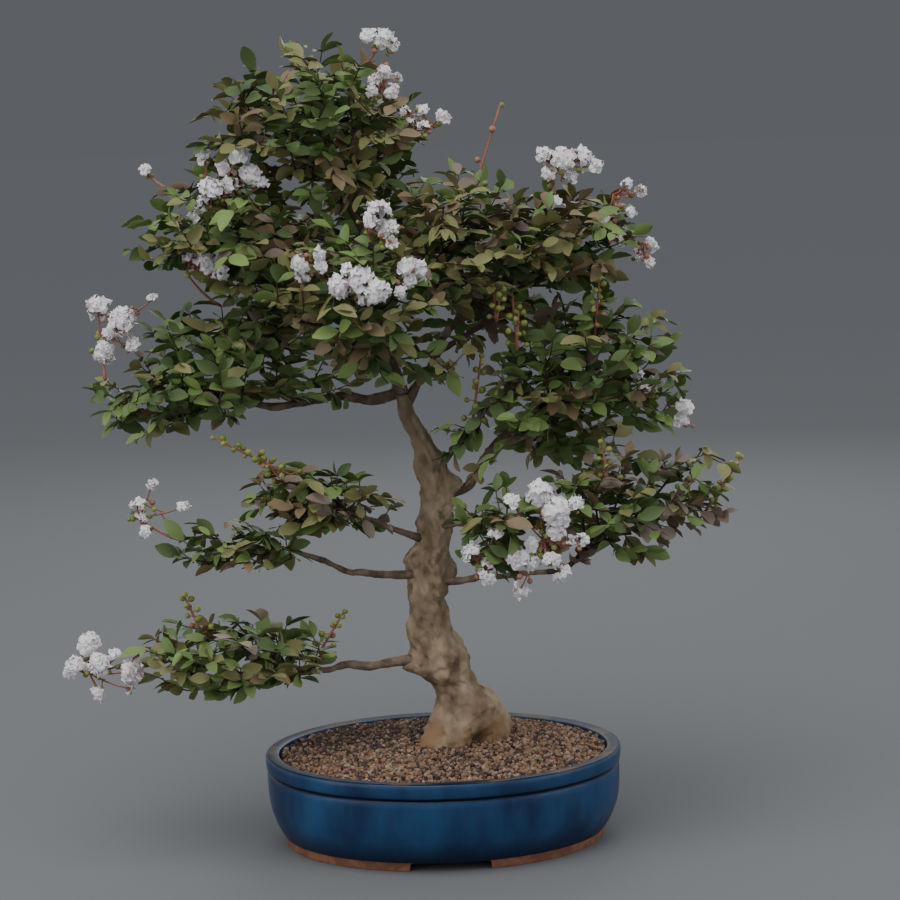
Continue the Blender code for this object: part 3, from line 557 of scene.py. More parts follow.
# %% Grains
GRAIN_TINTS = [(0.29, 0.185, 0.118), (0.19, 0.113, 0.077), (0.40, 0.295, 0.21), (0.10, 0.055, 0.042),
               (0.060, 0.050, 0.048), (0.32, 0.165, 0.090)]
GRAIN_SHARES = [0.27, 0.2, 0.14, 0.13, 0.12, 0.14]
DARK_GRAINS = [3, 4]
GRAIN_PIECES, GRAINS_EACH = 2, 4600
GRAIN_RADIUS = (1.4, 2.9)
grain_looks = [plain_look(f"grain_{order}", tint, 0.9) for order, tint in enumerate(GRAIN_TINTS)]
rng = np.random.default_rng(SEED)
for part in range(GRAIN_PIECES):
    edge = np.sqrt(rng.uniform(0.0, 1.0, GRAINS_EACH))
    bearing = rng.uniform(0.0, 2 * math.pi, GRAINS_EACH)
    flat = LIP_INNER * 0.985 * edge[:, None] * np.stack([np.cos(bearing), np.sin(bearing)], axis=1)
    offset = np.linalg.norm((flat - FLAT_CENTRE * 0.8) / (FLAT_HALF + 20.0), axis=1)
    rise = BED_LOW + BED_RISE * np.clip(1.25 - 0.45 * offset, 0.0, 1.0) * (1 - edge ** 6)
    lie = rise - 2.2 + rng.uniform(0.0, 2.6, GRAINS_EACH)
    sizes = rng.uniform(*GRAIN_RADIUS, (GRAINS_EACH, 1)) * rng.uniform(0.72, 1.15, (GRAINS_EACH, 3))
    grains, faces = balls(np.concatenate([flat, lie[:, None]], axis=1), sizes,
                          random_turns(GRAINS_EACH, rng))
    damp = (flat[:, 0] < 10) & (flat[:, 1] > 10) & (rng.random(GRAINS_EACH) < 0.45)
    tint = np.where(damp, rng.choice(DARK_GRAINS, GRAINS_EACH),
                    rng.choice(len(GRAIN_TINTS), GRAINS_EACH, p=GRAIN_SHARES))
    put_mesh(f"gravel_grains_{part}", grains, [faces], grain_looks,
             which=np.repeat(tint, len(BALL_FACES)), smooth=False)

# %% [markdown]
# ## Bark
# Crape myrtle sheds its old bark, so the trunk is smooth and mottled in cream, tan and brown, with a
# rusty stain where it meets the wet gravel. Higher up, the wood is younger and darker. A single noise
# would look like camouflage, so noises at several scales are mixed one over the other, and two masks
# by height bring in the rust and the young wood.

# %% Bark finish
PALE_TAN, DARK_TAN, YELLOW_TAN = (0.43, 0.325, 0.210), (0.195, 0.130, 0.074), (0.240, 0.175, 0.100)
STAIN, RUST = (0.125, 0.085, 0.050), (0.30, 0.175, 0.090)
YOUNG_DARK, YOUNG_PALE = (0.150, 0.105, 0.072), (0.27, 0.205, 0.145)
YOUNG_LOW, YOUNG_HIGH = 0.30, 0.50
RUST_TOP, RUST_FULL = 0.150, 0.118
bark = plain_look("mottled_bark", (0.36, 0.29, 0.205), 0.72)
tan = mixed(bark, noise_mask(bark, 55.0, 0.38, 0.62, 0.45), DARK_TAN, PALE_TAN)
tan = mixed(bark, noise_mask(bark, 24.0, 0.52, 0.66, 0.6), tan, YELLOW_TAN)
tan = mixed(bark, noise_mask(bark, 62.0, 0.60, 0.70, 0.8), tan, STAIN)
rust = times(bark, height_mask(bark, RUST_TOP, RUST_FULL), noise_mask(bark, 30.0, 0.44, 0.58))
tan = mixed(bark, rust, tan, RUST)
young = mixed(bark, noise_mask(bark, 90.0, 0.4, 0.6), YOUNG_DARK, YOUNG_PALE)
paint(bark, mixed(bark, height_mask(bark, YOUNG_LOW, YOUNG_HIGH), tan, young))
bump(bark, noise_mask(bark, 210.0, 0.25, 0.75, 0.5), 0.0011, 0.7)
print("bark has", len(bark.node_tree.nodes), "nodes")

# %% [markdown]
# ## The trunk
# The trunk leans, swells at its roots and burls, and thins to a fork. It could be sculpted, but a
# sculpt can't be changed by a number. So it is a stack of sections round a leaning axis: each root and
# burl adds a bell-shaped swelling in height and bearing, and three noises, coarse to fine, give the
# lumps and furrows their relief.

# %% Trunk axis and swellings
TRUNK = np.array([
    (100.3, 22, 2, 33), (118, 25, 3, 33), (137, 26, 3, 31), (150, 20, 2, 26), (160, 13, 1, 22),
    (172, 4, 0, 26), (187, 1, 0, 28), (205, -6, 0, 24.5), (222, -12, 0, 21.5), (243, -13.5, 0, 17.8),
    (265, -10, 0, 19), (287, -9, 0, 20), (305, -4, 0, 17.3), (340, 1, 0, 16.4), (365, 1, 0, 17),
    (386, -4, 0, 14.9), (410, -15, 1, 10.5), (433, -27, 2, 8.4), (453, -32, 3, 6.8)])
# Height, bearing in degrees, reach up, reach round in degrees, swelling.
SWELLINGS = [
    (100, -150, 24, 36, 18), (100, 20, 30, 32, 18), (100, 105, 26, 40, 10), (100, -60, 11, 22, -20),
    (178, 178, 11, 52, 14), (214, 175, 10, 40, 4), (272, 5, 11, 45, 8), (288, 180, 8, 45, 4),
    (363, 0, 8, 50, 7), (142, -60, 12, 30, 3), (195, -70, 10, 28, 4), (182, 90, 14, 40, 5),
    (252, 115, 12, 35, 4), (322, 70, 12, 35, 3)]


def trunk_axis(height):
    """The axis's x and y and the radius at a height, between the rows of the table."""
    return np.stack([np.interp(height, TRUNK[:, 0], TRUNK[:, column]) for column in (1, 2, 3)], axis=-1)


print("trunk rises to", TRUNK[-1, 0], "mm with", len(SWELLINGS), "roots and burls")

# %% Trunk
TRUNK_LOW, TRUNK_HIGH = 97.0, 453.0
TRUNK_ROWS, TRUNK_ROUND = 220, 96
# Wave length and height of each noise in millimetres, its seed, and how far it is squashed upwards.
LUMPS_AND_FURROWS = [(21.0, 2.0, 11, 0.6), (11.0, 1.0, 12, 1.0), (4.5, 0.26, 13, 1.0)]
DENT_DEPTH, DENT_LIMIT = 1.8, 1.1
level, turn = np.meshgrid(np.linspace(TRUNK_LOW, TRUNK_HIGH, TRUNK_ROWS),
                          np.arange(TRUNK_ROUND) * 2 * math.pi / TRUNK_ROUND, indexing="ij")
axis = trunk_axis(level)
out = axis[..., 2].copy()
for height, bearing, reach, spread, swell in SWELLINGS:
    aside = (np.degrees(turn) - bearing + 180) % 360 - 180
    out += swell * np.exp(-(aside / spread) ** 2 - ((level - height) / reach) ** 2)
skin = np.stack([axis[..., 0] + out * np.cos(turn), axis[..., 1] + out * np.sin(turn), level], axis=-1)
furrows = sum(relief(skin * [1.0, 1.0, squash], wave, seed) * rise
              for wave, rise, seed, squash in LUMPS_AND_FURROWS)
dents = -DENT_DEPTH * np.maximum(relief(skin, 13.0, 14) - DENT_LIMIT, 0.0)
skin[..., :2] += ((furrows + dents) * np.minimum(1.0, out / 14.0))[..., None] * np.stack(
    [np.cos(turn), np.sin(turn)], axis=-1)
middles = np.array([[22.0, 2.0, TRUNK_LOW], [-32.0, 3.0, TRUNK_HIGH + 0.5]])
put_mesh("trunk_bark", np.concatenate([skin.reshape(-1, 3), middles]),
         closed_faces(TRUNK_ROWS, TRUNK_ROUND), [bark], ["trunk"])

# %% [markdown]
# ## Boughs
# The leader carries the trunk on into the crown, and seventeen boughs leave it or each other. Each is
# given by a few bends from its foot to its tip. A Catmull-Rom curve passes through every bend, which a
# Bezier curve would only do with handles set by hand. A bough is thickest where it joins and knobbly
# along its length, and its bark is darker than the trunk's.

# %% Bough paths
# What carries it, how far up or along it leaves, its bends to the tip, its radius at foot and tip.
BOUGHS = {
    "leader": ("trunk", 453, [(-42, 10, 500), (-56, 12, 570), (-68, 12, 620), (-80, 10, 668)], 6.4, 4.4),
    "low_left_bough": ("trunk", 183, [(-72, -15, 187), (-108, -25, 185), (-132, -32, 183)], 5.2, 3.4),
    "mid_left_bough": ("trunk", 272, [(-60, -18, 276), (-88, -25, 281), (-137, -40, 305)], 4.8, 3.2),
    "upper_mid_left_bough": ("trunk", 303, [(-43, -25, 322), (-62, -36, 333), (-80, -46, 340)], 4.0, 3.0),
    "left_bough": ("leader", 0.02, [(-63, 1, 452), (-116, 3, 451), (-157, 2, 445), (-196, 0, 454)],
                   6.2, 3.8),
    "left_rising_bough": ("left_bough", 0.52, [(-149, 10, 455), (-166, 15, 480), (-163, 16, 502)],
                          3.6, 2.6),
    "right_bough": ("trunk", 352, [(35, 0, 359), (46, -5, 386), (64, -10, 406), (104, -18, 438)], 5.0, 3.4),
    "right_rear_bough": ("right_bough", 0.6, [(84, 14, 404), (108, 38, 402), (120, 56, 405)], 3.4, 2.6),
    "right_rising_bough": ("trunk", 440, [(-2, 20, 478), (19, 28, 498), (52, 34, 518), (84, 30, 548)],
                           4.6, 3.0),
    "rear_right_bough": ("right_rising_bough", 0.35, [(22, 56, 515), (42, 86, 532)], 3.2, 2.6),
    "low_right_bough": ("trunk", 264, [(28, -8, 266), (61, -15, 269), (108, -24, 274)], 4.6, 3.4),
    "front_right_bough": ("trunk", 318, [(20, -30, 326), (38, -58, 330), (46, -74, 329)], 3.6, 2.8),
    "front_bough": ("leader", 0.06, [(-52, -30, 491), (-60, -50, 506), (-66, -66, 520)], 4.0, 3.0),
    "centre_bough": ("leader", 0.48, [(-34, -2, 566), (-14, -8, 576)], 3.4, 2.8),
    "upper_left_bough": ("leader", 0.66, [(-100, 4, 610), (-136, -2, 616)], 3.8, 2.8),
    "rear_left_bough": ("leader", 0.26, [(-80, 44, 526), (-110, 80, 544)], 3.6, 2.8),
    "rear_bough": ("leader", 0.42, [(-50, 40, 566), (-48, 76, 584)], 3.2, 2.6),
    "rear_top_bough": ("leader", 0.82, [(-66, 40, 658), (-64, 68, 672)], 3.2, 2.6),
}


def smooth_path(points, steps):
    """A Catmull-Rom curve through the points, with this many steps between each two."""
    padded = np.array([2 * points[0] - points[1], *points, 2 * points[-1] - points[-2]])
    before, here, there, after = (padded[shift:len(points) - 1 + shift, None] for shift in range(4))
    t = (np.arange(1, steps + 1) / steps)[None, :, None]
    curve = 0.5 * (2 * here + (there - before) * t + (2 * before - 5 * here + 4 * there - after) * t ** 2
                   + (3 * here - before - 3 * there + after) * t ** 3)
    return np.concatenate([points[:1], curve.reshape(-1, 3)])


CROOKED = 1.7
rng = np.random.default_rng(SEED)
paths = {}
for name, (carrier, leaves_at, bends, _, _) in BOUGHS.items():
    if carrier == "trunk":
        foot = np.append(trunk_axis(leaves_at)[:2], leaves_at)
    else:
        along = paths[carrier]
        place = leaves_at * (len(along) - 1)
        foot = np.array([np.interp(place, np.arange(len(along)), along[:, column])
                         for column in range(3)])
    path = smooth_path(np.array([foot, *bends], dtype=float), 2)
    path[1:-1] += rng.normal(0.0, CROOKED, path[1:-1].shape)
    paths[name] = path
print("bough paths", len(paths))

# %% Bough finish
bough_look = plain_look("bough_bark", (0.20, 0.145, 0.10), 0.75)
brown = mixed(bough_look, noise_mask(bough_look, 80.0, 0.38, 0.62), (0.105, 0.070, 0.048),
              (0.27, 0.20, 0.14))
paint(bough_look, mixed(bough_look, height_mask(bough_look, 0.435, 0.50), brown, (0.085, 0.058, 0.044)))
bump(bough_look, noise_mask(bough_look, 260.0, 0.25, 0.75), 0.0009, 0.8)
print("bough bark has", len(bough_look.node_tree.nodes), "nodes")

# %% Boughs
BOUGH_STEPS, BOUGH_SIDES = 6, 20
TIP_SHARE, INSIDE_SOLID = 0.85, 0.88
COLLAR, COLLAR_STEPS = 0.35, 5.0
KNOB_WAVE, KNOB_RISE = 22.0, 0.5
FURROW_WAVE, FURROW_RISE, FURROW_SEED = 7.0, 0.32, 60
skins, groups, start = [], [], 0
for order, (name, (_, _, _, foot_radius, tip_radius)) in enumerate(BOUGHS.items()):
    path = smooth_path(paths[name], BOUGH_STEPS)
    collar = COLLAR * foot_radius * np.exp(-np.arange(len(path)) / COLLAR_STEPS)
    radii = np.linspace(foot_radius, tip_radius * TIP_SHARE, len(path)) * INSIDE_SOLID
    radii += collar + KNOB_RISE * relief(path, KNOB_WAVE, 40 + order)
    points, faces = tubes(path[None], radii[None], BOUGH_SIDES)
    inward = np.append(np.repeat(np.arange(len(path)), BOUGH_SIDES), [0, len(path) - 1])
    furrows = relief(points, FURROW_WAVE, FURROW_SEED) * FURROW_RISE
    points = points + unit(points - path[inward]) * furrows[:, None]
    skins.append(points)
    groups.append([group + start for group in faces])
    start += len(points)
faces = [np.concatenate([group[kind] for group in groups]) for kind in (0, 1)]
put_mesh("bough_bark", np.concatenate(skins), faces, [bough_look], boughs)

# %% [markdown]
# ## Where the foliage grows
# A bonsai's foliage is kept in pads, each at the end of a bough. A pad's space is a few overlapping
# ellipsoids, so a twig or leaf is tested by one sum of squares. Modelling each pad as a mesh and
# asking what lies inside would be slower and no better. Blossom heads stand out of the pads, and each
# head is a panicle: several lumps of flowers on one branching stalk.

# %% Foliage spaces
# A mass's bough, its lobes (centre and half sizes) and its count of twigs on the solid.
MASSES = {
    "top_mass": ("leader", [(-112, 5, 738, 88, 88, 62), (-170, -5, 704, 62, 66, 40),
                            (-42, 0, 722, 44, 56, 46), (-86, -14, 662, 54, 44, 34)], 9),
    "upper_left_mass": ("upper_left_bough", [(-196, -5, 626, 74, 84, 62), (-256, 0, 614, 42, 52, 36),
                                             (-130, -16, 606, 44, 40, 36)], 7),
    "left_mass": ("left_bough", [(-222, 0, 492, 84, 88, 58), (-282, -5, 456, 56, 62, 44),
                                 (-116, -22, 478, 56, 34, 34)], 8),
    "left_inner_mass": ("left_rising_bough", [(-146, 18, 538, 50, 52, 42)], 3),
    "front_mass": ("front_bough", [(-76, -92, 564, 80, 64, 66), (-52, -56, 502, 60, 34, 34),
                                   (6, -48, 488, 46, 30, 30)], 7),
    "centre_mass": ("centre_bough", [(30, -30, 604, 70, 80, 74)], 6),
    "upper_right_mass": ("right_rising_bough", [(134, 0, 604, 78, 86, 50)], 6),
    "right_mass": ("right_bough", [(160, 0, 490, 86, 88, 56), (216, 0, 446, 44, 56, 34),
                                   (78, -28, 448, 48, 30, 44), (26, -38, 400, 34, 24, 44)], 9),
    "low_right_mass": ("low_right_bough", [(184, -34, 346, 82, 74, 56), (246, -40, 352, 50, 46, 46)], 6),
    "front_right_mass": ("front_right_bough", [(66, -100, 334, 56, 44, 48)], 3),
    "mid_left_mass": ("upper_mid_left_bough", [(-128, -54, 362, 66, 46, 34),
                                               (-66, -40, 344, 32, 24, 22)], 5),
    "left_tip_mass": ("mid_left_bough", [(-196, -58, 318, 66, 36, 26)], 3),
    "low_left_mass": ("low_left_bough", [(-208, -42, 206, 96, 66, 38)], 6),
    "rear_left_mass": ("rear_left_bough", [(-146, 120, 572, 78, 66, 66)], 5),
    "rear_mass": ("rear_bough", [(-42, 128, 612, 66, 62, 66)], 4),
    "rear_right_mass": ("rear_right_bough", [(66, 128, 560, 82, 66, 70)], 5),
    "low_rear_mass": ("right_rear_bough", [(140, 96, 410, 74, 66, 50)], 5),
    "rear_top_mass": ("rear_top_bough", [(-70, 104, 694, 68, 56, 50)], 4),
}
# A head's mass, its centre and its half sizes.
BLOSSOM = [
    ("top_mass", (-43, -4, 800), (22, 18, 13)), ("top_mass", (-40, -6, 745), (22, 18, 34)),
    ("top_mass", (6, -2, 722), (27, 15, 13)), ("upper_left_mass", (-212, -34, 650), (38, 22, 34)),
    ("upper_left_mass", (-277, 0, 684), (12, 11, 9)), ("left_mass", (-238, -24, 585), (27, 18, 17)),
    ("left_mass", (-326, -10, 530), (32, 22, 28)), ("front_mass", (-112, -134, 606), (27, 18, 20)),
    ("front_mass", (-70, -142, 574), (46, 20, 22)), ("front_mass", (-64, -134, 634), (22, 18, 22)),
    ("front_mass", (-24, -130, 590), (22, 16, 22)),
    ("upper_right_mass", (124, -10, 682), (38, 22, 22)),
    ("upper_right_mass", (182, -14, 650), (20, 16, 20)),
    ("upper_right_mass", (208, -6, 600), (30, 13, 15)), ("right_mass", (206, -20, 446), (22, 14, 12)),
    ("right_mass", (250, -12, 420), (13, 13, 22)), ("front_right_mass", (96, -124, 334), (34, 18, 42)),
    ("front_right_mass", (38, -124, 306), (20, 14, 30)),
    ("low_left_mass", (-348, -50, 200), (40, 24, 32)),
    ("left_tip_mass", (-290, -70, 358), (26, 15, 32)),
]
HEAD_ROOM, BOUGH_END = 4, 24


def spaces():
    """The lobes of each mass: its own, its blossom heads, and the end of its bough."""
    found = {}
    for name, (bough, lobes, _) in MASSES.items():
        rows = [list(lobe) for lobe in lobes]
        rows += [[*centre, *(size + HEAD_ROOM for size in half)]
                 for mass, centre, half in BLOSSOM if mass == name]
        rows.append([*BOUGHS[bough][2][-1], BOUGH_END, BOUGH_END, BOUGH_END])
        found[name] = np.array(rows, dtype=float)
    return found


def depth_in(points, lobes):
    """The scaled distance from the nearest lobe's centre: 1 on the space's edge, 0 at a centre."""
    away = (points[:, None, :] - lobes[None, :, :3]) / lobes[None, :, 3:]
    return np.linalg.norm(away, axis=2).min(axis=1)


def in_space(points, name, reach):
    """Whether each point is in this mass's space, grown by the reach, and in the whole tree's box."""
    own = depth_in(points, ROOMS[name])
    return (own <= reach) & np.all((points > LOW + 1.5) & (points < HIGH - 1.5), axis=1)


ROOMS = spaces()
print("spaces", len(ROOMS), "blossom heads", len(BLOSSOM))

# %% [markdown]
# ## Where the flowers stand
# The open flowers of a panicle stand in loose lumps. Chance would spread them evenly, and the lumps
# are the first thing that the eye compares. So they are placed from the view. A place on the view fixes
# all but the depth, and the depth is the head's own, give or take a little. Twigs and leaves then keep
# out of the way of the flowers, as on a tree that is turned to its best side.

# %% Lumps of flowers
# The lumps of open flowers in each head, as the photograph shows them: across and down on the
# 900-pixel view, read off, and the reach in millimetres.
LUMPS_SEEN = [
    [(370, 36, 9), (384, 38, 11), (392, 46, 7)],
    [(384, 70, 8), (374, 80, 7), (391, 92, 8), (379, 101, 7), (371, 92, 6), (396, 78, 5)],
    [(405, 113, 6), (421, 111, 7), (443, 116, 8), (425, 128, 7), (411, 121, 5)],
    [(205, 157, 8), (238, 155, 9), (221, 168, 8), (250, 175, 11), (212, 190, 12), (231, 184, 9),
     (196, 216, 7), (262, 186, 7), (204, 203, 7)],
    [(147, 172, 7)],
    [(191, 258, 8), (206, 264, 11), (221, 272, 9)],
    [(98, 306, 12), (123, 321, 14), (152, 300, 6), (102, 351, 12), (134, 345, 7), (111, 333, 7)],
    [(302, 262, 10), (317, 254, 8), (306, 274, 8), (322, 266, 7)],
    [(340, 286, 12), (360, 281, 13), (378, 293, 11), (350, 271, 8), (367, 296, 8)],
    [(378, 212, 11), (389, 228, 9), (371, 224, 8), (393, 243, 6)],
    [(405, 264, 10), (421, 271, 10), (412, 281, 8), (400, 292, 6)],
    [(544, 156, 10), (562, 161, 12), (581, 160, 12), (597, 166, 7), (570, 178, 7), (548, 173, 7),
     (556, 203, 6)],
    [(627, 184, 5), (640, 191, 6), (630, 213, 6), (606, 222, 5), (617, 243, 8)],
    [(655, 243, 8), (650, 262, 5), (638, 254, 5)],
    [(657, 383, 9), (644, 388, 6), (636, 372, 6)],
    [(682, 408, 10), (680, 421, 8)],
    [(539, 491, 12), (557, 509, 14), (575, 506, 9), (511, 502, 8), (558, 528, 11), (571, 546, 8),
     (581, 540, 7), (530, 545, 9), (519, 560, 11), (532, 563, 8), (551, 561, 8), (562, 575, 8),
     (520, 590, 8)],
    [(493, 536, 8), (472, 553, 9), (486, 566, 7), (488, 576, 8)],
    [(88, 643, 12), (74, 667, 10), (99, 665, 11), (130, 671, 12), (100, 691, 8), (115, 659, 8),
     (127, 688, 6)],
    [(137, 505, 7), (152, 484, 5), (145, 532, 6), (183, 507, 5), (140, 519, 6)],
]
LUMP_SEED = 4
LUMP_DEPTH = 0.45
LUMP_CLEAR, LUMP_CLEAR_BEHIND = 2.0, 8.0


def place_seen(right_pixel, down_pixel, depth):
    """The place in millimetres that a pixel of the view shows at a depth along y: the eye plus the
    pixel's ray times the distance that reaches the depth."""
    right = (right_pixel - VIEW_PIXELS / 2) / FOCAL_PIXELS
    down = (down_pixel - VIEW_PIXELS / 2) / FOCAL_PIXELS
    ray = ahead + across * right - upward * down
    return EYE / MM + ray * (depth - EYE[1] / MM) / ray[1]


def hides_blossom(points):
    """Whether each point lies in a lump of flowers or in front of one, as seen along y."""
    aside = np.linalg.norm(points[..., None, ::2] - LUMP_BALLS[:, [0, 2]], axis=-1)
    before = points[..., None, 1] < LUMP_BALLS[:, 1] + LUMP_CLEAR_BEHIND
    return ((aside < LUMP_BALLS[:, 3] + LUMP_CLEAR) & before).any(axis=-1)


rng = np.random.default_rng(LUMP_SEED)
LUMPS = []
for (_, centre, half), head in zip(BLOSSOM, LUMPS_SEEN):
    depths = centre[1] + half[1] * rng.uniform(-LUMP_DEPTH, LUMP_DEPTH, len(head))
    LUMPS.append([(*place_seen(right, down, depth), reach)
                  for (right, down, reach), depth in zip(head, depths)])
LUMP_BALLS = np.array([lump for head in LUMPS for lump in head])
print("lumps of flowers", len(LUMP_BALLS))

# %% [markdown]
# ## Twigs
# Each mass grows from its bough's tip by the rule that the solids follow, carried further. Tips are
# spread through the mass's lobes, and each joins the point of the twigs so far that costs least to
# reach, counting the way back to the stem. That gives short forks near the tips and few long ones,
# where random branching gives tangles. A twig is as thick as the tips beyond it need.

# %% Growth
TIPS_PER_TWIG = 12.0
TIP_RIVALS = 12
TWIG_DETOUR = 0.45
STEM_LENGTH = 14.0
TWIG_SAG, TWIG_CROOKED = 0.12, 1.5


def spread_tips(name, count, rng):
    """Each tip is the one of a dozen random places in the lobes that is furthest from the rest."""
    lobes = np.array(MASSES[name][1], dtype=float)
    weights = lobes[:, 3:].prod(axis=1)
    pool = lobes[rng.choice(len(lobes), size=(count, TIP_RIVALS), p=weights / weights.sum())]
    ways = unit(rng.normal(size=(count, TIP_RIVALS, 3)))
    ways *= 0.25 + 0.72 * rng.random((count, TIP_RIVALS, 1)) ** 0.6
    options = pool[..., :3] + pool[..., 3:] * ways
    chosen = [options[0, 0]]
    for rivals in options[1:]:
        gaps = np.linalg.norm(rivals[:, None] - np.array(chosen)[None], axis=2).min(axis=1)
        chosen.append(rivals[int(np.argmax(gaps * ~hides_blossom(rivals)))])
    return np.array(chosen)


def grow(name, seed):
    """The twigs of a mass as rows of joint, tip and bend, and the count of tips beyond each point. A
    joint costs the span to it plus a share of the way back from it to the stem."""
    bough, _, twig_count = MASSES[name]
    rng = np.random.default_rng(seed)
    path = paths[bough]
    heading = unit(path[-1] - path[-2])
    points, back, parents = [path[-1], path[-1] + heading * STEM_LENGTH], [0.0, STEM_LENGTH], [-1, 0]
    tips = spread_tips(name, round(twig_count * TIPS_PER_TWIG), rng)
    twigs = [(0, 1, points[0] + heading * STEM_LENGTH / 2)]
    for tip in tips[np.argsort(np.linalg.norm(tips - points[0], axis=1))]:
        cost = np.linalg.norm(np.array(points[1:]) - tip, axis=1) + TWIG_DETOUR * np.array(back[1:])
        joint = int(np.argmin(cost)) + 1
        span = tip - points[joint]
        sag = [0.0, 0.0, TWIG_SAG * np.linalg.norm(span)]
        bend = points[joint] + span * 0.5 - sag + rng.normal(0.0, TWIG_CROOKED, 3)
        points.append(tip)
        parents.append(joint)
        back.append(back[joint] + np.linalg.norm(span))
        twigs.append((joint, len(points) - 1, bend))
    load = np.ones(len(points))
    for point in range(len(points) - 1, 0, -1):
        load[parents[point]] += load[point]
    return np.array(points), twigs, load


grown = {name: grow(name, SEED + order) for order, name in enumerate(MASSES)}
print("twigs", sum(len(twigs) for _, twigs, _ in grown.values()))

# %% Twig meshes
# The radius of a twig with one tip, the power by which it grows with the tips, and its taper.
TIP_RADIUS, TIP_POWER, TWIG_TAPER = 0.6875, 0.36, 0.8
TWIG_POINTS, TWIG_SIDES = 6, 6
twig_look = plain_look("dark_twig", (0.075, 0.045, 0.036), 0.7)
bump(twig_look, noise_mask(twig_look, 900.0, 0.3, 0.7), 0.0003)
starts, bends, tips, feet = [], [], [], []
for name, (points, twigs, load) in grown.items():
    limit = BOUGHS[MASSES[name][0]][4]
    for joint, tip, bend in twigs:
        starts.append(points[joint])
        bends.append(bend)
        tips.append(points[tip])
        feet.append(min(TIP_RADIUS * load[tip] ** TIP_POWER, limit))
t = np.linspace(0.0, 1.0, TWIG_POINTS)[None, :, None]
starts, bends, tips = (np.array(rows)[:, None] for rows in (starts, bends, tips))
curves = starts * (1 - t) ** 2 + 2 * bends * t * (1 - t) + tips * t ** 2
radii = np.array(feet)[:, None] * np.linspace(1.0, TWIG_TAPER, TWIG_POINTS)
points, faces = tubes(curves, radii, TWIG_SIDES)
put_mesh("fine_twigs", points, faces, [twig_look], masses)

# %% [markdown]
# ## Leaves
# A crape myrtle's leaf is a smooth oval with a short point. The leaves sit in pairs along a shoot, and
# most here are 14 to 27 mm long. A particle system could scatter one leaf, but it wouldn't know the
# pairs. So the places come from the twigs' own curves, one pair every 7 mm and one leaf at the tip.
# Shoots outside and on top are bronze or olive and those inside deep green, so the tint is drawn for a
# whole shoot, with a few strays.

# %% Leaf tints
LEAF_TINTS = [(0.100, 0.155, 0.055), (0.155, 0.230, 0.073), (0.210, 0.305, 0.090), (0.240, 0.235, 0.095),
              (0.240, 0.178, 0.098), (0.230, 0.175, 0.140)]
# How a mass's outer shoots are dealt: deep, mid and bright green, olive, bronze, mauve.
TINT_SHARES = {"top_mass": (2, 2, 0.5, 4, 3, 0.5), "rear_top_mass": (2, 2, 0.5, 4, 2, 0.5),
               "front_mass": (1, 2, 1, 4, 3, 1), "centre_mass": (1, 2, 1, 4, 3, 1),
               "upper_right_mass": (1, 2, 1, 4, 2, 1), "low_right_mass": (1, 3, 1, 2, 1, 3),
               "mid_left_mass": (1, 2, 1, 3, 2, 3)}
USUAL_SHARES = (2, 4, 2, 3, 0.7, 0.4)
INNER_SHARES = np.array([3, 2, 1, 0.5, 0.2, 0.2])
leaf_looks = [plain_look(f"leaf_{order}", tint, 0.5, Specular_IOR_Level=0.3)
              for order, tint in enumerate(LEAF_TINTS)]
print("leaf tints", len(leaf_looks))

# %% Leaf places
INNER_DEPTH, STRAYS = 0.55, 0.08
PAIR_SPACING = 7.0
LEAF_LENGTH = (14.0, 27.0)
LEAF_REACH = 1.22
rng = np.random.default_rng(SEED + 100)
roots, headings, tints, homes, outs = [], [], [], [], []
for order, (name, (points, twigs, load)) in enumerate(grown.items()):
    shares = np.array(TINT_SHARES.get(name, USUAL_SHARES), dtype=float)
    middle = np.array(MASSES[name][1][0][:3], dtype=float)
    for joint, tip, bend in twigs[1:]:
        length = np.linalg.norm(points[tip] - points[joint])
        pairs = max(2, int(length * 0.8 / PAIR_SPACING))
        at = np.linspace(0.22 if load[tip] < 3 else 0.4, 0.96, pairs)[:, None]
        place = points[joint] * (1 - at) ** 2 + 2 * bend * at * (1 - at) + points[tip] * at ** 2
        forth = unit(2 * (1 - at) * (bend - points[joint]) + 2 * at * (points[tip] - bend))
        side = unit(np.cross(forth, [0.0, 0.0, 1.0]))
        inside = depth_in(points[tip][None], ROOMS[name])[0] < INNER_DEPTH
        dealt = shares * (INNER_SHARES if inside else 1)
        tint = rng.choice(len(LEAF_TINTS), p=dealt / dealt.sum())
        for hand in (-1.0, 1.0):
            roots.append(place + rng.normal(0, 0.4, place.shape))
            headings.append(forth * 0.65 + side * hand + rng.normal(0.0, 0.28, place.shape))
            outs.append(place - middle)
            stray = rng.random(pairs) < STRAYS
            tints.append(np.where(stray, rng.integers(0, len(LEAF_TINTS), pairs), tint))
            homes.append(np.full(pairs, order))
        roots.append(points[tip][None])
        headings.append(forth[-1:] + rng.normal(0.0, 0.15, (1, 3)))
        outs.append((points[tip] - middle)[None])
        tints.append(np.array([tint]))
        homes.append(np.array([order]))
roots, headings, outs, tints, homes = (np.concatenate(rows)
                                       for rows in (roots, headings, outs, tints, homes))
headings = unit(headings + np.array([0.0, 0.0, -0.12]))
lengths = rng.uniform(*LEAF_LENGTH, len(roots))
leaf_tips = roots + headings * lengths[:, None]
fits = np.zeros(len(roots), bool)
for order, name in enumerate(MASSES):
    own = homes == order
    fits[own] = in_space(leaf_tips[own], name, LEAF_REACH)
fits &= ~hides_blossom(roots + headings * lengths[:, None] * 0.6)
roots, headings, outs, tints, lengths = (rows[fits] for rows in (roots, headings, outs, tints, lengths))
print("leaves", len(roots))

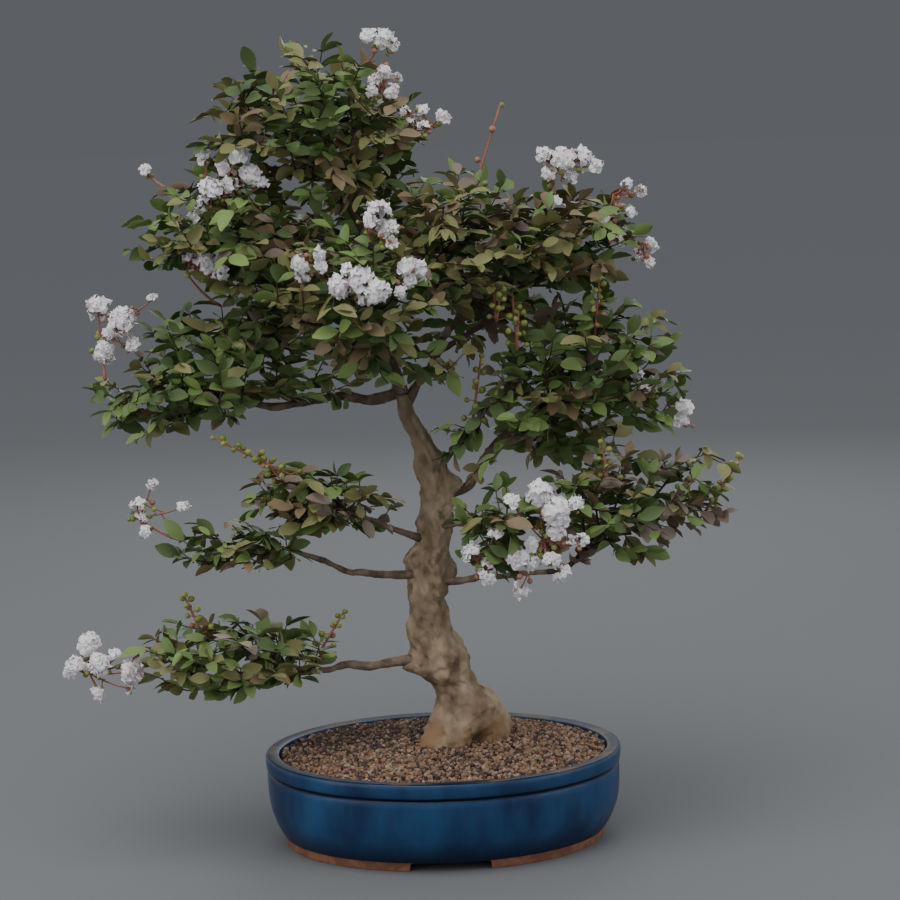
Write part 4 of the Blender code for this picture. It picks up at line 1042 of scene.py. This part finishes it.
# %% [markdown]
# ## The shape of a leaf
# Each leaf is a grid of six rows by three points, so thousands of them stay light. Its half width is a
# power of a sine along the leaf, its two halves fold up from the midrib, and it arches down to the tip.
# The fold, the arch and a slight wave are drawn for each leaf, because copies of one leaf would show as
# copies.

# %% Leaf meshes
ALONG, ACROSS = 6, 3
LEAF_HALF_WIDTH = 0.275
u = np.linspace(0.0, 1.0, ALONG)
v = np.linspace(-1.0, 1.0, ACROSS)
half_width = LEAF_HALF_WIDTH * np.sin(math.pi * (0.015 + 0.955 * u ** 1.08)) ** 0.75
blade_x = np.repeat(u[:, None], ACROSS, axis=1)
blade_y = half_width[:, None] * v[None]
facing = rng.normal(0.0, 0.42, (len(roots), 3)) + 0.45 * unit(outs) + [0.0, 0.0, 0.75]
side = unit(np.cross(facing, headings))
normal = np.cross(headings, side)
fold = rng.uniform(0.10, 0.55, len(roots))[:, None, None]
arch = rng.uniform(0.05, 0.32, len(roots))[:, None, None]
wave = rng.uniform(-0.03, 0.03, len(roots))[:, None, None]
blade_z = (fold * np.abs(blade_y)[None] - arch * blade_x[None] ** 2
           + wave * np.sin(9.0 * blade_x)[None] * v[None, None])
blade = (headings[:, None, None] * blade_x[None, ..., None]
         + side[:, None, None] * blade_y[None, ..., None] + normal[:, None, None] * blade_z[..., None])
leaf_points = np.clip(roots[:, None, None] + lengths[:, None, None, None] * blade, LOW + 0.5, HIGH - 0.5)
quads = grid_faces(ALONG, ACROSS, False)
put_mesh("leaves", leaf_points.reshape(-1, 3), [repeated(quads, len(roots), ALONG * ACROSS)], leaf_looks,
         which=np.repeat(tints, len(quads)))

# %% [markdown]
# ## Flowers
# A flower has six petals on thin claws, crinkled like crepe paper, round a tuft of yellow stamens. One
# modelled flower could be copied, but the crinkles of neighbours would repeat. So each lump is dealt
# its flowers, which face out of it and up, and every petal gets its own ruffle in the next step.

# %% Flower places
PETAL_TINTS = [(0.96, 0.94, 0.95), (0.94, 0.87, 0.92), (0.92, 0.74, 0.79)]
FLOWER_SHARE = 26.0
FLOWER_SIZE, SIZE_WITH_REACH = 1.5, 0.28
petal_looks = [plain_look(f"petal_{order}", tint, 0.55) for order, tint in enumerate(PETAL_TINTS)]
rng = np.random.default_rng(SEED + 200)
flower_at, flower_out, flower_size = [], [], []
for (_, centre, _), lumps in zip(BLOSSOM, LUMPS):
    for *place, reach in lumps:
        count = max(2, round(reach ** 2 / FLOWER_SHARE))
        ways = unit(rng.normal(size=(count, 3)) + [0.0, -0.35, 0.2])
        flower_at.append(np.array(place) + ways * reach * rng.uniform(0.25, 0.55, (count, 1)))
        flower_out.append(ways + 0.35 * unit(np.array(place) - centre + 0.01) + [0.0, -0.25, 0.25])
        flower_size.append(np.full(count, FLOWER_SIZE + SIZE_WITH_REACH * reach))
flower_size = np.concatenate(flower_size)
flower_at = np.clip(np.concatenate(flower_at), LOW + 6.0, HIGH - 6.0)
flower_out = unit(np.concatenate(flower_out))
print("flowers", len(flower_at))

# %% [markdown]
# ## Petals
# A petal's blade is a small disc of rings. Its height over the disc is a sum of sine waves round the
# rim that grow outwards: the ruffle. A cloth simulation would crumple the petals better, but it can't
# be repeated from a seed so cheaply. The claw is too thin to show, so the blade is set off from the
# flower's middle by its length.

# %% Petals
RINGS_OUT, ROUND_BLADE, PETALS = 4, 12, 6
CLAW = 1.2
PETAL_SHARES = [0.66, 0.26, 0.08]
count = len(flower_at)
first = unit(np.cross(flower_out, rng.normal(size=flower_out.shape)))
second = np.cross(flower_out, first)
size = flower_size[:, None] * rng.uniform(0.85, 1.25, (count, PETALS))
bearing = np.arange(PETALS) * 2 * math.pi / PETALS + rng.normal(0, 0.2, (count, PETALS))
tilt = rng.uniform(0.1, 1.25, (count, PETALS))
outward = ((np.cos(tilt) * np.cos(bearing))[..., None] * first[:, None]
           + (np.cos(tilt) * np.sin(bearing))[..., None] * second[:, None]
           + np.sin(tilt)[..., None] * flower_out[:, None])
middle = flower_at[:, None] + outward * (size * CLAW)[..., None]
upright = unit(flower_out[:, None] * 0.9 + outward * 0.5 + rng.normal(0, 0.25, outward.shape))
right = unit(np.cross(upright, outward))
forth = np.cross(right, upright)
s = np.linspace(0.12, 1.0, RINGS_OUT)[:, None]
w = (np.arange(ROUND_BLADE) * 2 * math.pi / ROUND_BLADE)[None]
phase = rng.uniform(0, 2 * math.pi, (3, count, PETALS, 1, 1))
ruffle = (s ** 1.6 * (0.34 * np.sin(3 * w + phase[0]) + 0.32 * np.sin(5 * w + 2.5 * s + phase[1]))
          + 0.22 * np.sin(6.0 * s + phase[2]) * s - 0.25 * s ** 2)
reach = s * (1 + 0.12 * np.sin(4 * w + phase[1]))
blade = ((reach * np.cos(w))[..., None] * forth[:, :, None, None]
         + (reach * np.sin(w))[..., None] * right[:, :, None, None]
         + ruffle[..., None] * upright[:, :, None, None])
petal_points = middle[:, :, None, None] + size[..., None, None, None] * blade
petal_points = np.clip(petal_points, LOW + 0.3, HIGH - 0.3).reshape(-1, 3)
quads = grid_faces(RINGS_OUT, ROUND_BLADE, True)
tint = np.repeat(rng.choice(len(PETAL_TINTS), count * PETALS, p=PETAL_SHARES), len(quads))
put_mesh("blossom_petals", petal_points, [repeated(quads, count * PETALS, RINGS_OUT * ROUND_BLADE)],
         petal_looks, which=tint)

# %% [markdown]
# ## Stamens
# The stamens are many threads with yellow ends. At this size they show as one yellow dot, so a small
# ball before the flower's middle does for them, where single threads would cost more than the petals.

# %% Stamens
TUFT_RADIUS, TUFT_RISE = 1.3, 1.5
yellow = plain_look("stamen_yellow", (0.62, 0.42, 0.06), 0.6)
points, faces = balls(flower_at + flower_out * TUFT_RISE, np.full((count, 3), TUFT_RADIUS),
                      random_turns(count, rng))
put_mesh("stamens", points, [faces], [yellow])

# %% [markdown]
# ## Stalks
# The lumps of flowers stand on salmon stalks that branch from the middle of their head, with a few
# buds between. Shoots that haven't opened end in spikes, where the buds go round the stem by the
# golden angle. Drawing each stalk by hand would be exact and slow. Here one helper gathers them all,
# and one set of tubes makes them.

# %% Spikes and buds
# Spikes of green buds: the mass, the spike's foot and tip, and its buds.
BUD_SPIKES = [
    ("mid_left_mass", (-140, -62, 384), (-214, -66, 424), 18),
    ("mid_left_mass", (-146, -58, 374), (-172, -60, 404), 12),
    ("low_left_mass", (-236, -44, 230), (-252, -46, 268), 11),
    ("low_left_mass", (-120, -40, 206), (-96, -40, 244), 11),
    ("right_mass", (158, -26, 500), (164, -34, 566), 16),
    ("centre_mass", (60, -66, 528), (64, -76, 558), 9),
    ("low_right_mass", (262, -42, 330), (300, -42, 386), 18),
    ("low_right_mass", (236, -46, 346), (252, -48, 372), 10),
    ("right_mass", (36, -22, 420), (46, -40, 492), 12),
    ("low_right_mass", (166, -60, 366), (160, -62, 408), 8),
    ("centre_mass", (80, -60, 500), (82, -62, 541), 11),
    ("centre_mass", (44, -20, 652), (72, -14, 734), 4)
]
GOLDEN_ANGLE = 2.39996
HEAD_BUDS = 3
# Radius range of the buds and how they are dealt: green, lime, red.
HEAD_BUD_SIZE, HEAD_BUD_SHARES = (1.7, 3.0), [0.3, 0.2, 0.5]
SPIKE_BUD_SIZE, SPIKE_BUD_SHARES = (2.4, 3.6), [0.45, 0.45, 0.1]
print("spikes", len(BUD_SPIKES), "with", sum(row[3] for row in BUD_SPIKES), "buds")

# %% Stalks
STALK_POINTS, STALK_SIDES = 6, 6
stalk_look = plain_look("salmon_stalk", (0.34, 0.125, 0.085), 0.55)
rng = np.random.default_rng(SEED + 300)
stalk_paths, stalk_radii, bud_at, bud_size, bud_tint = [], [], [], [], []


def stalk(start, end, radius, sag=0.0):
    """A curve from the start to the end that sags between them by 4 t (1 - t) of the sag."""
    t = np.linspace(0.0, 1.0, STALK_POINTS)[:, None]
    stalk_paths.append(start + (end - start) * t - [0.0, 0.0, 1.0] * (sag * 4 * t * (1 - t)))
    stalk_radii.append(np.linspace(radius, radius * 0.7, STALK_POINTS))


def add_bud(place, sizes, shares):
    """A bud's place, a radius drawn from the range and a tint drawn by the shares."""
    bud_at.append(place)
    bud_size.append(rng.uniform(*sizes))
    bud_tint.append(rng.choice(len(shares), p=shares))


def nearest_twig(name, place):
    """The point of the mass's twigs, or of its bough, that is nearest to the place."""
    points = np.concatenate([grown[name][0], paths[MASSES[name][0]]])
    return points[np.argmin(np.linalg.norm(points - place, axis=1))]


for (mass, centre, half), lumps in zip(BLOSSOM, LUMPS):
    centre = np.array(centre, dtype=float) + [0.0, half[1] * 0.4, -half[2] * 0.25]
    stalk(nearest_twig(mass, centre), centre, 1.5, 4.0)
    for *place, reach in lumps:
        place = np.array(place, dtype=float)
        stalk(centre, place, 1.0, 2.0)
        for way in unit(rng.normal(size=(HEAD_BUDS, 3)) * [1.0, 0.6, 0.7] + [0.0, 0.1, -0.6]):
            start = centre + (place - centre) * rng.uniform(0.3, 0.9)
            bud = np.clip(start + way * rng.uniform(6.0, 11.0), LOW + 4.5, HIGH - 4.5)
            stalk(start, bud, 0.65, 0.5)
            add_bud(bud, HEAD_BUD_SIZE, HEAD_BUD_SHARES)
for mass, foot, tip, buds in BUD_SPIKES:
    foot, tip = np.array(foot, dtype=float), np.array(tip, dtype=float)
    stalk(nearest_twig(mass, foot), foot, 1.3, 3.0)
    stalk(foot, tip, 1.4)
    for order in range(buds):
        share = 0.05 + 0.95 * order / (buds - 1)
        stem = foot + (tip - foot) * share
        turn = order * GOLDEN_ANGLE
        aside = np.array([math.cos(turn), math.sin(turn) * 0.9, 0.35 * math.sin(turn * 1.7) + 0.3])
        bud = stem + aside * rng.uniform(7.0, 12.0) * (1.15 - 0.85 * share)
        bud = np.clip(bud, LOW + 4.5, HIGH - 4.5)
        stalk(stem, bud, 0.6)
        add_bud(bud, SPIKE_BUD_SIZE, SPIKE_BUD_SHARES)
points, faces = tubes(np.array(stalk_paths), np.array(stalk_radii), STALK_SIDES)
put_mesh("flower_stalks", points, faces, [stalk_look])

# %% [markdown]
# ## Buds
# A bud is a green ball drawn out to a small point. Blender's UV sphere would do for one, but hundreds
# of spheres are quicker as arrays: one shell of latitude rings, turned, scaled and set in each place.

# %% Buds
RINGS, ROUND = 7, 10
POLE_GAP = 0.06
POINT_RISE, POINT_SPREAD = 0.22, 0.35
BUD_TINTS = [("bud_green", (0.20, 0.24, 0.05)), ("bud_lime", (0.31, 0.33, 0.09)),
             ("bud_red", (0.38, 0.17, 0.11))]
bud_looks = [plain_look(name, tint, 0.5) for name, tint in BUD_TINTS]
polar = np.linspace(POLE_GAP, math.pi - POLE_GAP, RINGS)[:, None]
turn = (np.arange(ROUND) * 2 * math.pi / ROUND)[None]
point_up = 1.0 + POINT_RISE * np.exp(-(polar / POINT_SPREAD) ** 2)
shell = np.stack([np.sin(polar) * np.cos(turn), np.sin(polar) * np.sin(turn),
                  np.cos(polar) * point_up * np.ones_like(turn)], axis=-1).reshape(-1, 3)
shell = np.concatenate([shell, [[0, 0, 1.24], [0, 0, -1.0]]])
bud_at, bud_size, bud_tint = np.array(bud_at), np.array(bud_size), np.array(bud_tint)
turns = random_turns(len(bud_at), rng)
points = np.einsum("nij,nkj->nki", turns, shell[None] * bud_size[:, None, None]) + bud_at[:, None]
# The rings run from the top down, so the faces are turned round to point outwards.
one_bud = [group[:, ::-1] for group in closed_faces(RINGS, ROUND)]
tint = np.concatenate([np.repeat(bud_tint, len(group)) for group in one_bud])
put_mesh("buds", points.reshape(-1, 3), [repeated(group, len(bud_at), len(shell)) for group in one_bud],
         bud_looks, which=tint)

# %% [markdown]
# ## The floor
# The tree is shown on plain pale paper. A paper sweep that curves up behind needs a bent mesh. A flat
# floor that is wide enough reaches the horizon, and the sky's tone meets it there.

# %% Floor
FLOOR_HALF = 60
paper = plain_look("paper", (0.205, 0.212, 0.22), 1.0, Specular_IOR_Level=0.0)
ground = bpy.data.meshes.new("floor")
ground.from_pydata([(-FLOOR_HALF, -FLOOR_HALF, 0), (FLOOR_HALF, -FLOOR_HALF, 0),
                    (FLOOR_HALF, FLOOR_HALF, 0), (-FLOOR_HALF, FLOOR_HALF, 0)], [], [(0, 1, 2, 3)])
ground.materials.append(paper)
floor = bpy.data.objects.new("floor", ground)
bpy.context.scene.collection.objects.link(floor)
print("floor", 2 * FLOOR_HALF, "m wide")
